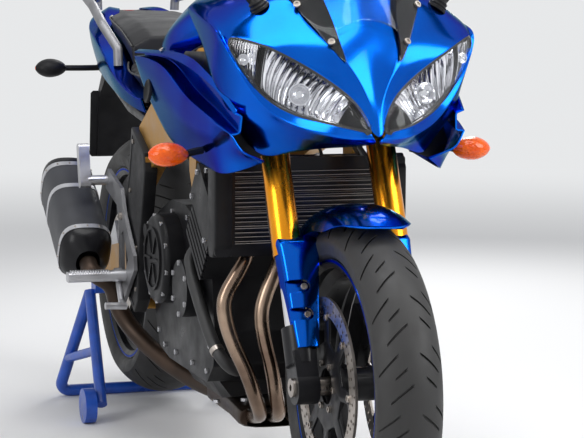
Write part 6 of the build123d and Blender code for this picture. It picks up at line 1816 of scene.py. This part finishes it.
class MOTORCYCLE_OT_cowl_fittings(Operator):
    """Fit the side cowls' round vents and screws, the dark liners and gussets behind them and the plate's holder"""

    bl_idname = "motorcycle.cowl_fittings"
    bl_label = "Cowl Fittings"

    def execute(self, context):
        vents = [lathe("vent", VENT_DISH, (way * 234.5, *VENT), (way, 0.0, 0.12), steps=40) for way in (-1, 1)]
        dress(join("side_cowl_vents", vents), "black_plastic", angle=34.0)
        screws = [(mm(way * 224.0, -174, 880), (way * 0.5, 0, 0.86)) for way in (-1, 1)]
        dress(set_down("side_cowl_screws", bolt(5.0, 3.2), screws), "steel")
        liners = []
        for way in (-1, 1):
            outline = [(way * x, z) for x, z in LINER]
            liners.append(slab("liner", outline, -598.0, -594.0, lambda a, b, level: mm(a, level, b)))
            liners.append(slab("gusset", GUSSET, way * 204.0, way * 207.0, lambda a, b, level: mm(level, a, b)))
        liners.append(slab("holder", HOLDER, -2.4, -0.3, on_plate))
        liner = join("dark_liners", liners)
        round_edges(liner, 0.6)
        dress(liner, "black_plastic", angle=34.0)
        return {"FINISHED"}


GROUPS = (("motorcycle_paint", PaintWork), ("motorcycle_panels", PanelSizes), ("motorcycle_camera", CameraSizes))
OPERATORS = (
    STUDIO_OT_stage, MOTORCYCLE_OT_finishes, MOTORCYCLE_OT_nose_cowl, MOTORCYCLE_OT_headlamps,
    MOTORCYCLE_OT_windscreen, MOTORCYCLE_OT_side_cowls, MOTORCYCLE_OT_front_mudguard, MOTORCYCLE_OT_tyres,
    MOTORCYCLE_OT_discs, MOTORCYCLE_OT_turn_signals, MOTORCYCLE_OT_tank, MOTORCYCLE_OT_tail, MOTORCYCLE_OT_seats,
    MOTORCYCLE_OT_silencer, MOTORCYCLE_OT_frame_guards, MOTORCYCLE_OT_engine_fittings,
    MOTORCYCLE_OT_radiator_core, MOTORCYCLE_OT_footrest_treads, MOTORCYCLE_OT_mirrors, MOTORCYCLE_OT_instruments,
    MOTORCYCLE_OT_grips, MOTORCYCLE_OT_rear_end, MOTORCYCLE_OT_exhaust, MOTORCYCLE_OT_cowl_fittings,
)
STEPS = tuple(kind.bl_idname for kind in OPERATORS)


class VIEW3D_PT_motorcycle(Panel):
    """Lists the sizes, colours and steps of the motorcycle in the sidebar"""

    bl_label = "Motorcycle"
    bl_idname = "VIEW3D_PT_motorcycle"
    bl_space_type = "VIEW_3D"
    bl_region_type = "UI"
    bl_category = "Motorcycle"

    def draw(self, context):
        for group, names in (
            (context.scene.motorcycle_paint, ("paint", "floor")),
            (context.scene.motorcycle_panels, ("wall", "smoothness", "seal")),
            (context.scene.motorcycle_camera, ("lens", "key_power", "sky")),
        ):
            box = self.layout.box()
            for name in names:
                box.prop(group, name)
        for step in STEPS:
            self.layout.operator(step)


CLASSES = [*(group for _, group in GROUPS), *OPERATORS, VIEW3D_PT_motorcycle]


def register():
    for kind in CLASSES:
        bpy.utils.register_class(kind)
    for name, group in GROUPS:
        setattr(bpy.types.Scene, name, PointerProperty(type=group))


def unregister():
    for name, _ in GROUPS:
        delattr(bpy.types.Scene, name)
    for kind in reversed(CLASSES):
        bpy.utils.unregister_class(kind)


def main():
    register()
    for step in STEPS:
        group, name = step.split(".")
        getattr(getattr(bpy.ops, group), name)()


if __name__ == "__main__":
    main()
